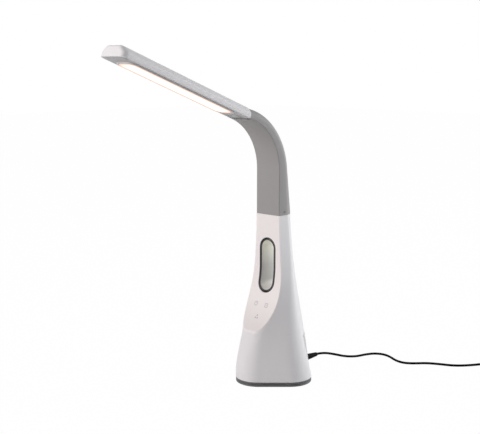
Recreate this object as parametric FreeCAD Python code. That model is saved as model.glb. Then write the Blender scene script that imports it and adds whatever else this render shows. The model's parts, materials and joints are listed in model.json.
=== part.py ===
import FreeCAD, Part
import math
import os

# Desk lamp: a flared tower with an air opening, a bendable neck and a slim lit head.
# Millimetres. +Z is up, the front faces -Y, and the origin is the middle of the foot on the desk.

# Foot: a rounded square that stands cornerwise, one corner to the front
foot_front = 61.0
foot_back = 61.0
foot_nose_half = 12.4
foot_tail_half = 5.8
foot_nose_round = 28.0
foot_side_round = 30.0
foot_tail_round = 13.5
mat_height = 1.5
mat_inset = 9.5
pan_height = 6.0
pan_floor = 2.0
pan_wall = 3.0
pan_inset = 0.4
pan_edge_round = 1.5
groove_depth = 0.5
groove_height = 0.8
ballast_radius = 42.0
ballast_height = 10.0
ballast_back = -4.0

# Tower
tower_top = 219.0
tower_front = 15.0
tower_wall = 2.4
roof_thick = 3.0
front_overcut = 8.0
top_front_round = 2.0
top_side_round = 7.0
top_back_round = 9.0
sweep_radius = 120.0
sweep_start = 154.0
sweep_angle = 60.0
panel_thick = 1.8
panel_gap = 0.1
# Each row: drop below the top, then how far each corner has moved from the top's place to the foot's,
# in the order front x, front y, side x, side y, back x, back y, and the front, side and back rounds
flare_shares = (
    (0.0, 0.0, 0.0, 0.0, 0.0, 0.0, 0.0, 0.0, 0.0, 0.0),
    (0.284, -0.13, 0.105, 0.10, -0.70, 0.0, 0.13, 0.08, 0.13, 0.44),
    (0.52, 0.13, 0.395, 0.32, 0.47, 0.0, 0.363, 0.31, 0.35, 1.33),
    (0.756, 1.0, 0.726, 0.64, 1.86, 0.28, 0.67, 0.77, 0.65, 2.0),
    (1.0, 1.0, 1.0, 1.0, 1.0, 1.0, 1.0, 1.0, 1.0, 1.0),
)

# Air opening through the tower
opening_middle = 153.0
opening_half_width = 14.0
opening_half_height = 36.0
ring_width = 2.0
ring_recess = 0.9
ring_gap = 0.1
tunnel_wall = 1.5
tunnel_recess = 0.3

# Intake slots in the two rear faces
slot_count = 7
slot_low = 24.0
slot_pitch = 5.0
slot_height = 2.2
slot_length = 26.0
slot_middle_x = 26.0
slot_middle_y = 40.0

# Touch signs and the sensor film behind them
sign_thick = 0.12
sign_size = 2.8
sign_line = 0.6
sign_spread = 9.0
sign_upper = 102.5
sign_lower = 87.5
film_thick = 1.0
film_gap = 0.2
film_half_width = 13.0
film_low = 80.0
film_high = 110.0
film_trim = 0.6

# Blower in the lower tower
fan_low = 24.0
fan_height = 26.0
fan_outer = 29.0
fan_wall = 1.6
fan_leg_radius = 3.0
fan_leg_count = 3
fan_spoke_count = 3
fan_spoke_width = 4.0
fan_spoke_height = 4.0
motor_radius = 10.0
motor_height = 12.0
motor_cup_wall = 1.2
motor_gap = 0.1
fan_shaft_radius = 1.0
fan_shaft_length = 13.0
fan_bearing_gap = 0.04
hub_radius = 9.0
hub_height = 10.0
hub_below_motor = 1.0
blade_count = 9
blade_tip_gap = 0.9
blade_thick = 1.0
blade_height = 9.0
blade_pitch_angle = 38.0
duct_tunnel_gap = 7.0
duct_top_half_width = 12.0
duct_top_half_depth = 9.0
duct_top_round = 4.0
duct_top_back = 4.0
duct_wall = 1.4
duct_base_round = 27.0

# Power inlet and board
jack_height = 12.2
jack_half_width = 4.5
jack_length = 13.0
jack_body_half_height = 4.5
jack_nose_radius = 4.0
jack_nose_gap = 0.1
jack_bore_radius = 2.8
board_thick = 1.6
board_half_width = 11.0
board_top = 34.0

# Fasteners
screw_gap = 0.05
base_screw_radius = 1.5
base_screw_length = 14.0
base_screw_tip_room = 1.0
base_screw_head_radius = 2.8
base_screw_head_height = 1.6
boss_radius = 4.0
boss_height = 22.0
boss_from_edge = 5.6
anchor_screw_radius = 1.5
anchor_screw_spread = 10.0
anchor_screw_back = 3.0
anchor_screw_length = 6.0
anchor_screw_head_radius = 2.6
anchor_screw_head_height = 1.8
side_screw_radius = 1.0
side_screw_head_radius = 1.7
side_screw_head_height = 0.5
side_screw_length = 4.5
side_screw_up = 4.1
side_screw_back = 10.3

# Neck: a soft sleeve with a flat front face over a chain of pinned links
neck_width = 40.0
neck_back_half = 13.0
neck_root_depth = 30.5
neck_root_side = 16.0
neck_straight = 58.0
neck_bend_radius = 70.0
neck_bend_angle = 69.3
neck_lead = 8.0
neck_edge_round = 1.0
sleeve_wall = 1.8
sleeve_gap = 0.3
collar_height = 8.0
collar_wall = 3.4
collar_gap = 0.1
spine_offset = 6.5
hinge_first = 29.0
hinge_last_room = 10.5
hinge_count = 4
link_width = 14.0
link_thick = 4.0
tongue_width = 6.0
fork_gap = 0.15
knuckle_radius = 3.0
knuckle_gap = 0.6
pin_radius = 1.5
pin_gap = 0.05
anchor_half_width = 13.0
anchor_back = 7.0
anchor_thick = 4.0
roof_slot_gap = 0.2
sleeve_stations = 5

# Head
head_length = 217.4
head_tip_width = 44.0
head_depth = 12.5
head_side = 6.5
head_back_inset = 8.0
head_side_round = 5.0
head_back_round = 10.0
head_wall = 1.6
head_corner_round = 7.0
head_nose_round = 5.0
tip_overlap = 0.2
cover_thick = 1.4
cover_gap = 0.1
lip_reach = 12.0
lip_clear = 0.3
lens_start = 28.0
lens_end = 200.0
lens_half_width = 16.0
lens_corner = 9.0
lens_drop = 1.5
lens_edge_round = 0.8
lens_flange = 1.0
lens_gap = 0.1
frame_height = 3.6
frame_wall = 1.5
strip_thick = 1.2
spreader_thick = 0.8
spreader_inset = 2.0
led_columns = 12
led_rows = 2
led_size = 2.8
led_height = 0.8
led_row_half = 5.0
arm_half_width = 12.0
arm_start = 8.0
arm_end = 24.0
head_screw_spread = 9.0
head_screw_place = 14.0
head_screw_radius = 1.25
head_screw_head_radius = 2.3
head_screw_head_height = 1.2
head_screw_sink = 1.5
head_screw_length = 6.0
head_boss_radius = 3.2

# Cord, plug and wall adapter
cord_diameter = 3.2
cord_points = (
    (0.0, 86.2, 12.2),
    (1.0, 98.0, 11.6),
    (8.0, 112.0, 8.2),
    (17.0, 126.0, 3.6),
    (24.5, 142.0, 1.7),
    (27.0, 157.5, 1.6),
    (33.0, 172.5, 1.6),
    (46.0, 178.5, 1.6),
    (60.0, 174.5, 1.6),
    (75.0, 166.0, 1.6),
    (90.0, 164.0, 1.6),
    (102.0, 173.0, 1.6),
    (112.0, 186.0, 1.6),
    (128.0, 195.0, 1.6),
    (144.0, 201.5, 1.6),
    (156.0, 213.0, 1.6),
    (168.0, 231.0, 1.9),
    (178.0, 248.0, 2.75),
    (187.0, 265.0, 2.75),
)
cord_arc_share = 0.45
coil_middle_diameters = 11.0
coil_turn_gap = 1.05
coil_layers = 4
coil_spiral_turns = 2.375
coil_spiral_steps = 10
coil_climb_turns = 0.5
coil_climb_steps = 2
coil_check_steps = 60
tie_width = 8.0
tie_thick = 0.8
tie_gap = 0.35
tie_turn = 150.0
plug_base_radius = 4.5
plug_body_length = 22.0
plug_end_radius = 2.8
plug_tail_length = 3.0
plug_tail_radius = 1.9
plug_shell_gap = 0.2
barrel_radius = 2.75
barrel_length = 9.5
relief_length = 21.5
relief_root_radius = 3.4
relief_tip_radius = 2.0
adapter_length = 40.0
adapter_width = 25.0
adapter_height = 26.0
adapter_round = 3.0
prong_length = 17.0
prong_width = 6.3
prong_thick = 1.5
prong_spread = 12.7

# Shared by every cut that has to pass through its piece
overrun = 5.0

Vec = FreeCAD.Vector
UP = Vec(0, 0, 1)
RIGHT = Vec(1, 0, 0)
BACK = Vec(0, 1, 0)

tower_base = mat_height + pan_height
reach = foot_front + foot_back + tower_top


def export(shape, name):
    """Write one piece, as a plain solid or a group of them."""
    shape.exportStep("parts/" + name + ".step")


def box(low, high):
    """A block between two corners."""
    size = high - low
    return Part.makeBox(size.x, size.y, size.z, low)


def rod(radius, start, axis, length):
    """A round bar from a point along an axis."""
    return Part.makeCylinder(radius, length, start, axis)


def fuse_all(shapes):
    """One solid from overlapping ones."""
    joined = shapes[0].multiFuse(shapes[1:])
    return joined.removeSplitter()


def rounded_wire(corners, rounds, place):
    """A closed outline of straight sides and corner arcs, set into space by place(x, y)."""
    count = len(corners)
    starts, middles, ends = [], [], []
    for index in range(count):
        here = Vec(corners[index][0], corners[index][1], 0)
        before = Vec(corners[index - 1][0], corners[index - 1][1], 0)
        after = Vec(corners[(index + 1) % count][0], corners[(index + 1) % count][1], 0)
        into = (here - before).normalize()
        out = (after - here).normalize()
        turn = into.getAngle(out)
        reach_back = rounds[index] * math.tan(turn / 2)
        bisector = (out - into).normalize()
        centre = here + bisector * (rounds[index] / math.cos(turn / 2))
        starts.append(here - into * reach_back)
        middles.append(centre - bisector * rounds[index])
        ends.append(here + out * reach_back)
    edges = []
    for index in range(count):
        arc = [place(p.x, p.y) for p in (starts[index], middles[index], ends[index])]
        edges.append(Part.Arc(*arc).toShape())
        following = starts[(index + 1) % count]
        edges.append(Part.LineSegment(arc[2], place(following.x, following.y)).toShape())
    return Part.Wire(edges)


def inset_corners(corners, distance):
    """The corners of a convex outline, anticlockwise, with every side moved inwards."""
    count = len(corners)
    moved = []
    for index in range(count):
        here = Vec(corners[index][0], corners[index][1], 0)
        before = Vec(corners[index - 1][0], corners[index - 1][1], 0)
        after = Vec(corners[(index + 1) % count][0], corners[(index + 1) % count][1], 0)
        into = (here - before).normalize()
        out = (after - here).normalize()
        turn = into.getAngle(out)
        bisector = (out - into).normalize()
        moved_point = here + bisector * (distance / math.cos(turn / 2))
        moved.append((moved_point.x, moved_point.y))
    return moved


def mirrored(right_corners):
    """A whole outline from its right half, front to back."""
    return list(right_corners) + [(-x, y) for x, y in reversed(right_corners)]


def flat_outline(corners, rounds, low, high):
    """A rounded prism standing on the XY plane."""
    wire = rounded_wire(corners, rounds, lambda x, y: Vec(x, y, low))
    return Part.Face(wire).extrude(UP * (high - low))


def stadium(half_width, half_height, low_y, high_y):
    """A long round-ended prism along Y, at the air opening."""
    straight = half_height - half_width
    top = Vec(0, low_y, opening_middle + straight)
    bottom = Vec(0, low_y, opening_middle - straight)
    side = RIGHT * half_width
    edges = [
        Part.Arc(top + side, top + UP * half_width, top - side).toShape(),
        Part.LineSegment(top - side, bottom - side).toShape(),
        Part.Arc(bottom - side, bottom - UP * half_width, bottom + side).toShape(),
        Part.LineSegment(bottom + side, top + side).toShape(),
    ]
    return Part.Face(Part.Wire(edges)).extrude(BACK * (high_y - low_y))


# Foot plan, from its named reaches: all four faces stand at 45 degrees
foot_side_y = (foot_tail_half + foot_back - foot_nose_half - foot_front) / 2
foot_side_x = foot_nose_half + foot_side_y + foot_front
foot_right = (
    (foot_nose_half, -foot_front),
    (foot_side_x, foot_side_y),
    (foot_tail_half, foot_back),
)
foot_rounds = (foot_nose_round, foot_side_round, foot_tail_round)
top_right = (
    (neck_width / 2, -tower_front - front_overcut),
    (neck_width / 2, -tower_front + neck_root_side),
    (neck_back_half, -tower_front + neck_root_depth),
)
top_rounds = (top_front_round, top_side_round, top_back_round)


def foot_section(inset):
    """Corners and rounds of the foot's plan, moved inwards."""
    corners = inset_corners(mirrored(foot_right), inset)
    rounds = [radius - inset for radius in foot_rounds]
    return corners, rounds + rounds[::-1]


def tower_section(shares, inset):
    """One level of the tower, between the top's plan and the foot's."""
    height = tower_top - shares[0] * (tower_top - tower_base)
    right = []
    for corner in range(len(top_right)):
        share_x, share_y = shares[1 + 2 * corner], shares[2 + 2 * corner]
        x = top_right[corner][0] + share_x * (foot_right[corner][0] - top_right[corner][0])
        y = top_right[corner][1] + share_y * (foot_right[corner][1] - top_right[corner][1])
        right.append((x, y))
    rounds = []
    for corner in range(len(top_rounds)):
        share = shares[1 + 2 * len(top_right) + corner]
        full = top_rounds[corner] + share * (foot_rounds[corner] - top_rounds[corner])
        rounds.append(max(full - inset, full / 4))
    corners = inset_corners(mirrored(right), inset)
    return rounded_wire(corners, rounds + rounds[::-1], lambda x, y: Vec(x, y, height))


def tower_form(inset):
    """The flared form before its front is swept away."""
    return Part.makeLoft([tower_section(shares, inset) for shares in flare_shares], True, False)


def behind_front(depth):
    """Everything that lies this far or farther behind the swept front surface."""
    radius = sweep_radius + depth
    axis_y = -tower_front - sweep_radius
    angle = math.radians(sweep_angle)
    high = Vec(-reach, axis_y + radius, tower_top + overrun)
    bend = Vec(-reach, axis_y + radius, sweep_start)
    half = Vec(-reach, axis_y + radius * math.cos(angle / 2), sweep_start - radius * math.sin(angle / 2))
    end = Vec(-reach, axis_y + radius * math.cos(angle), sweep_start - radius * math.sin(angle))
    floor = Vec(-reach, end.y, -overrun)
    far_floor = Vec(-reach, reach, -overrun)
    far_high = Vec(-reach, reach, high.z)
    edges = [
        Part.LineSegment(high, bend).toShape(),
        Part.Arc(bend, half, end).toShape(),
        Part.LineSegment(end, floor).toShape(),
        Part.LineSegment(floor, far_floor).toShape(),
        Part.LineSegment(far_floor, far_high).toShape(),
        Part.LineSegment(far_high, high).toShape(),
    ]
    return Part.Face(Part.Wire(edges)).extrude(RIGHT * (2 * reach))


duct_top = opening_middle - opening_half_height + ring_width - duct_tunnel_gap
front_wall_start = panel_thick + panel_gap
front_wall_end = front_wall_start + tower_wall
tower_whole = tower_form(0)
roof_under = tower_top - roof_thick
spine_root_y = -tower_front + spine_offset


def build_foot():
    """Rubber mat, pan and ballast, with the screws that hold the tower down."""
    mat_corners, mat_rounds = foot_section(mat_inset)
    export(flat_outline(mat_corners, mat_rounds, 0, mat_height), "foot_mat")
    corners, rounds = foot_section(pan_inset)
    pan = flat_outline(corners, rounds, mat_height, tower_base)
    low_edges = [e for e in pan.Edges if e.BoundBox.ZMax < mat_height + groove_depth]
    pan = pan.makeFillet(pan_edge_round, low_edges)
    inner, inner_rounds = foot_section(pan_inset + pan_wall)
    pan = pan.cut(flat_outline(inner, inner_rounds, mat_height + pan_floor, tower_base + overrun))
    groove_low = mat_height + (pan_height - groove_height) / 2
    ring_outer = flat_outline(*foot_section(-overrun), groove_low, groove_low + groove_height)
    ring_inner = flat_outline(*foot_section(pan_inset + groove_depth), groove_low, groove_low + groove_height)
    pan = pan.cut(ring_outer.cut(ring_inner))
    ballast_floor = mat_height + pan_floor
    ballast = rod(ballast_radius, Vec(0, ballast_back, ballast_floor), UP, ballast_height)
    screws = []
    for place in boss_places():
        head_bottom = Vec(place.x, place.y, mat_height)
        head = rod(base_screw_head_radius, head_bottom, UP, base_screw_head_height)
        shank = rod(base_screw_radius, head_bottom, UP, base_screw_length)
        screws.append(head.fuse(shank).removeSplitter())
        seat = rod(base_screw_head_radius + screw_gap, head_bottom, UP, base_screw_head_height)
        pan = pan.cut(seat).cut(rod(base_screw_radius + screw_gap, head_bottom, UP, pan_height))
    for place in boss_places():
        pad = rod(boss_radius, Vec(place.x, place.y, mat_height + base_screw_head_height), UP,
                  pan_height - base_screw_head_height)
        pan = pan.fuse(pad.cut(rod(base_screw_radius + screw_gap, Vec(place.x, place.y, mat_height),
                                   UP, pan_height)))
    export(pan.removeSplitter(), "foot_pan")
    export(ballast, "ballast_disc")
    export(Part.makeCompound(screws), "base_screws")


def boss_places():
    """Where the tower is screwed to the foot: the nose and the two side corners."""
    side_x = foot_side_x - foot_side_round * (math.sqrt(2) - 1) - boss_from_edge
    return (
        Vec(0, boss_from_edge - foot_front, tower_base),
        Vec(side_x, foot_side_y, tower_base),
        Vec(-side_x, foot_side_y, tower_base),
    )


def build_tower():
    """The shell, the swept front panel and the parts around the air opening."""
    tunnel_half_width = opening_half_width - ring_width
    tunnel_half_height = opening_half_height - ring_width
    thread_depth = base_screw_length - pan_height + base_screw_tip_room
    room = tower_form(tower_wall).common(behind_front(front_wall_end))
    room = room.cut(box(Vec(-reach, -reach, roof_under), Vec(reach, reach, tower_top + overrun)))
    for place in boss_places():
        room = room.cut(rod(boss_radius, place - UP * overrun, UP, boss_height + overrun))
    shell = tower_whole.common(behind_front(front_wall_start)).cut(room)
    for place in boss_places():
        shell = shell.cut(rod(base_screw_radius + screw_gap, place - UP * overrun, UP, thread_depth + overrun))
    shell = shell.cut(stadium(opening_half_width, opening_half_height, -reach, 0))
    shell = shell.cut(stadium(tunnel_half_width + ring_gap, tunnel_half_height + ring_gap, 0, reach))
    shell = shell.cut(rod(jack_nose_radius + jack_nose_gap, Vec(0, board_back(), jack_height), BACK, reach))
    slot_turn = math.atan2(slot_middle_y - foot_side_y, foot_side_x - slot_middle_x)
    for side in (1, -1):
        for index in range(slot_count):
            low = slot_low + index * slot_pitch
            slot = box(Vec(-slot_length / 2, 0, low), Vec(slot_length / 2, reach, low + slot_height))
            slot.rotate(Vec(0, 0, 0), UP, -math.degrees(slot_turn))
            slot.translate(Vec(slot_middle_x / 2, slot_middle_y / 2, 0))
            if side < 0:
                slot = slot.mirror(Vec(0, 0, 0), RIGHT)
            shell = shell.cut(slot)
    post_gap = roof_slot_gap
    shell = shell.cut(box(
        Vec(-link_width / 2 - post_gap, spine_root_y - link_thick / 2 - post_gap, roof_under - overrun),
        Vec(link_width / 2 + post_gap, spine_root_y + link_thick / 2 + post_gap, tower_top + overrun)))
    for side in (1, -1):
        hole_base = Vec(side * anchor_screw_spread, anchor_screw_back, roof_under - overrun)
        shell = shell.cut(rod(anchor_screw_radius + screw_gap, hole_base, UP, roof_thick + 2 * overrun))
    export(shell.removeSplitter(), "tower_shell")

    opening = stadium(opening_half_width, opening_half_height, -reach, reach)
    panel = tower_whole.common(behind_front(0)).cut(behind_front(panel_thick)).cut(opening)
    export(panel, "front_panel")
    ring = stadium(opening_half_width - ring_gap, opening_half_height - ring_gap, -reach, 0)
    ring = ring.cut(stadium(tunnel_half_width + ring_gap, tunnel_half_height + ring_gap, -reach, 0))
    ring = ring.common(behind_front(ring_recess)).cut(behind_front(front_wall_end))
    export(ring, "nozzle_ring")
    tunnel = stadium(tunnel_half_width, tunnel_half_height, -reach, reach)
    tunnel = tunnel.cut(stadium(tunnel_half_width - tunnel_wall, tunnel_half_height - tunnel_wall,
                                -reach, reach))
    tunnel = tunnel.common(behind_front(tunnel_recess)).common(tower_form(tunnel_recess))
    export(tunnel, "air_tunnel")


def build_signs():
    """Three printed touch signs and the sensor film behind the front wall."""
    layer = behind_front(-sign_thick).cut(behind_front(0))
    depth = Vec(0, -reach, 0)

    def disc(radius, x, z):
        return rod(radius, Vec(x, 0, z) + depth, BACK, 2 * reach)

    def bar(half_x, half_z, x, z):
        return box(Vec(x - half_x, -reach, z - half_z), Vec(x + half_x, reach, z + half_z))

    line = sign_line / 2
    clock = disc(sign_size, -sign_spread, sign_upper).cut(disc(sign_size - sign_line, -sign_spread, sign_upper))
    hand = bar(line, sign_size / 3, -sign_spread, sign_upper + sign_size / 3)
    square = bar(sign_size - line, sign_size - line, sign_spread, sign_upper)
    square = square.cut(bar(sign_size - 3 * line, sign_size - 3 * line, sign_spread, sign_upper))
    leg = bar(line, sign_size / 3, sign_spread, sign_upper)
    pieces = [clock, hand, square, leg]
    for index in range(3):
        angle = math.radians(90 + 120 * index)
        pieces.append(disc(sign_size / 3, sign_size * 2 / 3 * math.cos(angle),
                           sign_lower + sign_size * 2 / 3 * math.sin(angle)))
    signs = []
    for piece in pieces:
        signs.extend(piece.common(layer).Solids)
    export(Part.makeCompound(signs), "touch_signs")
    film_front = front_wall_end + film_gap
    film = behind_front(film_front).cut(behind_front(film_front + film_thick))
    film = film.common(tower_form(tower_wall + film_trim))
    film = film.common(box(Vec(-film_half_width, -reach, film_low), Vec(film_half_width, reach, film_high)))
    export(film, "touch_film")


def board_back():
    """Rear face of the power board, where the inlet sits."""
    return foot_back - tower_wall - jack_length - board_thick


def build_power():
    """The board that stands in the pan, and the round inlet on it."""
    face = board_back()
    board = box(Vec(-board_half_width, face - board_thick, mat_height + pan_floor),
                Vec(board_half_width, face, board_top))
    export(board, "power_board")
    body = box(Vec(-jack_half_width, face, jack_height - jack_body_half_height),
               Vec(jack_half_width, face + jack_length - board_thick, jack_height + jack_body_half_height))
    nose = rod(jack_nose_radius, Vec(0, face, jack_height), BACK, foot_back - face - tower_wall / 2)
    inlet = body.fuse(nose).removeSplitter()
    bore_start = Vec(0, foot_back - tower_wall / 2 - barrel_length - plug_shell_gap, jack_height)
    inlet = inlet.cut(rod(jack_bore_radius, bore_start, BACK, reach))
    export(inlet, "power_inlet")


def build_blower():
    """Housing, motor, impeller and the duct up to the air opening."""
    base = Vec(0, 0, fan_low)
    inner = fan_outer - fan_wall
    housing = rod(fan_outer, base, UP, fan_height).cut(rod(inner, base, UP, fan_height))
    spoke_low = fan_low + fan_height - fan_spoke_height
    motor_low = fan_low + fan_height - motor_height
    cup = rod(motor_radius + motor_gap + motor_cup_wall, Vec(0, 0, motor_low), UP, motor_height)
    parts = [housing, cup]
    for index in range(fan_spoke_count):
        spoke = box(Vec(0, -fan_spoke_width / 2, spoke_low),
                    Vec(fan_outer - fan_wall / 2, fan_spoke_width / 2, spoke_low + fan_spoke_height))
        spoke.rotate(Vec(0, 0, 0), UP, 360 / fan_spoke_count * index)
        parts.append(spoke)
    ballast_top = mat_height + pan_floor + ballast_height
    for index in range(fan_leg_count):
        leg = rod(fan_leg_radius, Vec(fan_outer - fan_wall / 2, 0, ballast_top), UP, fan_low - ballast_top + fan_wall)
        leg = leg.cut(rod(inner, base, UP, fan_height))
        leg.rotate(Vec(0, 0, 0), UP, 360 / fan_leg_count * (index + fan_leg_count / 2))
        parts.append(leg)
    housing = fuse_all(parts).cut(rod(motor_radius + motor_gap, Vec(0, 0, motor_low), UP, motor_height))
    export(housing, "fan_housing")

    motor = rod(motor_radius, Vec(0, 0, motor_low), UP, motor_height)
    shaft_low = motor_low - hub_below_motor - hub_height
    shaft_hole = fan_shaft_radius + fan_bearing_gap
    motor = motor.cut(rod(shaft_hole, Vec(0, 0, motor_low), UP, fan_shaft_length - hub_below_motor))
    export(motor, "fan_motor")
    shaft = rod(fan_shaft_radius, Vec(0, 0, shaft_low + hub_height / 2), UP, fan_shaft_length)
    export(shaft, "fan_shaft")

    hub = rod(hub_radius, Vec(0, 0, shaft_low), UP, hub_height)
    swept = rod(inner - blade_tip_gap, Vec(0, 0, shaft_low + (hub_height - blade_height) / 2), UP, blade_height)
    swept = swept.cut(rod(hub_radius / 2, Vec(0, 0, shaft_low), UP, hub_height))
    blade = box(Vec(0, -blade_thick / 2, -fan_outer), Vec(fan_outer, blade_thick / 2, fan_outer))
    blade.rotate(Vec(0, 0, 0), RIGHT, blade_pitch_angle)
    blade.translate(Vec(0, 0, shaft_low + hub_height / 2))
    blade = blade.common(swept)
    impeller = hub
    for index in range(blade_count):
        turned = blade.copy()
        turned.rotate(Vec(0, 0, 0), UP, 360 / blade_count * index)
        impeller = impeller.fuse(turned)
    impeller = impeller.cut(rod(fan_shaft_radius, Vec(0, 0, shaft_low), UP, hub_height)).removeSplitter()
    export(impeller, "fan_impeller")

    base_square = ((fan_outer, -fan_outer), (fan_outer, fan_outer))
    top_square = ((duct_top_half_width, duct_top_back - duct_top_half_depth),
                  (duct_top_half_width, duct_top_back + duct_top_half_depth))

    def duct(inset):
        low, high = fan_low + fan_height, duct_top
        base_corners = inset_corners(mirrored(base_square), inset)
        top_corners = inset_corners(mirrored(top_square), inset)
        base_rounds = [duct_base_round - inset] * 4
        top_rounds_here = [duct_top_round - inset] * 4
        return Part.makeLoft([
            rounded_wire(base_corners, base_rounds, lambda x, y: Vec(x, y, low)),
            rounded_wire(top_corners, top_rounds_here, lambda x, y: Vec(x, y, high)),
        ], True, True)

    export(duct(0).cut(duct(duct_wall)), "air_duct")


# Neck curve: the flat front face runs straight up and then bends forwards
bend_angle = math.radians(neck_bend_angle)
bend_end = neck_straight + neck_bend_radius * bend_angle
neck_end = bend_end + neck_lead
bend_axis = Vec(0, -tower_front - neck_bend_radius, tower_top + neck_straight)
head_along = Vec(0, -math.sin(bend_angle), math.cos(bend_angle))
head_up = Vec(0, math.cos(bend_angle), math.sin(bend_angle))
head_root = bend_axis + head_up * neck_bend_radius


def neck_frame(distance):
    """Place of the front face and its backward normal, at a distance along the neck."""
    if distance <= neck_straight:
        return Vec(0, -tower_front, tower_top + distance), BACK
    if distance <= bend_end:
        angle = (distance - neck_straight) / neck_bend_radius
        normal = Vec(0, math.cos(angle), math.sin(angle))
        return bend_axis + normal * neck_bend_radius, normal
    return head_root + head_along * (distance - bend_end), head_up


def neck_section(distance, inset):
    """Outline of the neck across its run: flat front, straight sides, rounded back."""
    share = distance / neck_end
    depth = neck_root_depth + share * (head_depth - neck_root_depth)
    side = neck_root_side + share * (head_side - neck_root_side)
    back_half = neck_back_half + share * (neck_width / 2 - head_back_inset - neck_back_half)
    side_round = top_side_round + share * (head_side_round - top_side_round)
    back_round = top_back_round + share * (head_back_round - top_back_round)
    origin, normal = neck_frame(distance)
    right = ((neck_width / 2, 0), (neck_width / 2, side), (back_half, depth))
    rounds = [max(r - inset, r / 4) for r in (neck_edge_round, side_round, back_round)]
    corners = inset_corners(mirrored(right), inset)
    return rounded_wire(corners, rounds + rounds[::-1], lambda x, y: origin + RIGHT * x + normal * y)


def neck_form(start, end, inset):
    """A stretch of the neck."""
    step = (end - start) / (sleeve_stations - 1)
    return Part.makeLoft([neck_section(start + step * index, inset) for index in range(sleeve_stations)],
                         True, False)


def hinge_distance(index):
    """Distance along the front face of a hinge, from its distance along the spine."""
    spine_end = neck_straight + (neck_bend_radius + spine_offset) * bend_angle
    pitch = (spine_end - hinge_last_room - hinge_first) / (hinge_count - 1)
    along = hinge_first + pitch * index
    if along <= neck_straight:
        return along
    return neck_straight + (along - neck_straight) * neck_bend_radius / (neck_bend_radius + spine_offset)


def hinge_place(index):
    """A hinge's middle, on the neck's centre plane."""
    origin, normal = neck_frame(hinge_distance(index))
    return origin + normal * spine_offset


def cross_rod(radius, middle, low, high):
    """A round bar across the lamp, between two places along X."""
    return rod(radius, Vec(low, middle.y, middle.z), RIGHT, high - low)


def link_bar(start, end, half_width):
    """A flat bar between two places on the centre plane."""
    normal = (end - start).cross(RIGHT).normalize() * (link_thick / 2)
    side = RIGHT * half_width
    corners = [start - normal - side, end - normal - side, end + normal - side, start + normal - side]
    face = Part.Face(Part.makePolygon(corners + corners[:1]))
    return face.extrude(side * 2)


def add_tongue(shape, place):
    """Ends a link in a single middle knuckle that turns on its pin."""
    half = tongue_width / 2
    room = knuckle_radius + knuckle_gap
    shape = shape.fuse(cross_rod(knuckle_radius, place, -half, half))
    shape = shape.cut(cross_rod(room, place, half, link_width))
    shape = shape.cut(cross_rod(room, place, -link_width, -half))
    return shape.cut(cross_rod(pin_radius + pin_gap, place, -link_width, link_width))


def add_fork(shape, place):
    """Ends a link in two ears that hold the pin."""
    inner = tongue_width / 2 + fork_gap
    outer = link_width / 2
    shape = shape.cut(cross_rod(knuckle_radius + knuckle_gap, place, -inner, inner))
    shape = shape.fuse(cross_rod(knuckle_radius, place, inner, outer))
    shape = shape.fuse(cross_rod(knuckle_radius, place, -outer, -inner))
    return shape.cut(cross_rod(pin_radius, place, -link_width, link_width)).removeSplitter()


def build_spine():
    """Anchor, links, arm and pins: the chain that lets the neck bend and stay."""
    hinges = [hinge_place(index) for index in range(hinge_count)]
    plate = box(Vec(-anchor_half_width, spine_root_y - link_thick / 2, roof_under - anchor_thick),
                Vec(anchor_half_width, anchor_back, roof_under))
    post_root = Vec(0, spine_root_y, roof_under - anchor_thick)
    anchor = plate.fuse(link_bar(post_root, hinges[0], link_width / 2)).removeSplitter()
    anchor = add_fork(anchor, hinges[0])
    screws = []
    for side in (1, -1):
        base = Vec(side * anchor_screw_spread, anchor_screw_back, tower_top - anchor_screw_length)
        shank = rod(anchor_screw_radius, base, UP, anchor_screw_length)
        head = rod(anchor_screw_head_radius, Vec(base.x, base.y, tower_top), UP, anchor_screw_head_height)
        screws.append(shank.fuse(head).removeSplitter())
        anchor = anchor.cut(rod(anchor_screw_radius + screw_gap, base, UP, anchor_screw_length))
    export(anchor, "neck_anchor")
    export(Part.makeCompound(screws), "anchor_screws")
    for index in range(hinge_count - 1):
        link = link_bar(hinges[index], hinges[index + 1], link_width / 2)
        link = add_fork(add_tongue(link, hinges[index]), hinges[index + 1])
        export(link, "spine_link_" + str(index + 1))
    for index in range(hinge_count):
        pin = cross_rod(pin_radius, hinges[index], -link_width / 2, link_width / 2)
        export(pin, "spine_pin_" + str(index + 1))
    last = hinges[-1]
    arm_depth = (last - head_root).dot(head_up)
    arm_tip = head_root + head_along * arm_end + head_up * arm_depth
    arm_wide = head_root + head_along * arm_start + head_up * arm_depth
    arm = link_bar(last, arm_tip, link_width / 2).fuse(link_bar(arm_wide, arm_tip, arm_half_width))
    arm = add_tongue(arm.removeSplitter(), last).removeSplitter()
    for place in head_screw_places():
        arm = arm.cut(rod(head_screw_radius + screw_gap, place - head_up * overrun, head_up, reach))
    export(arm, "head_arm")
    return arm_depth


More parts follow.
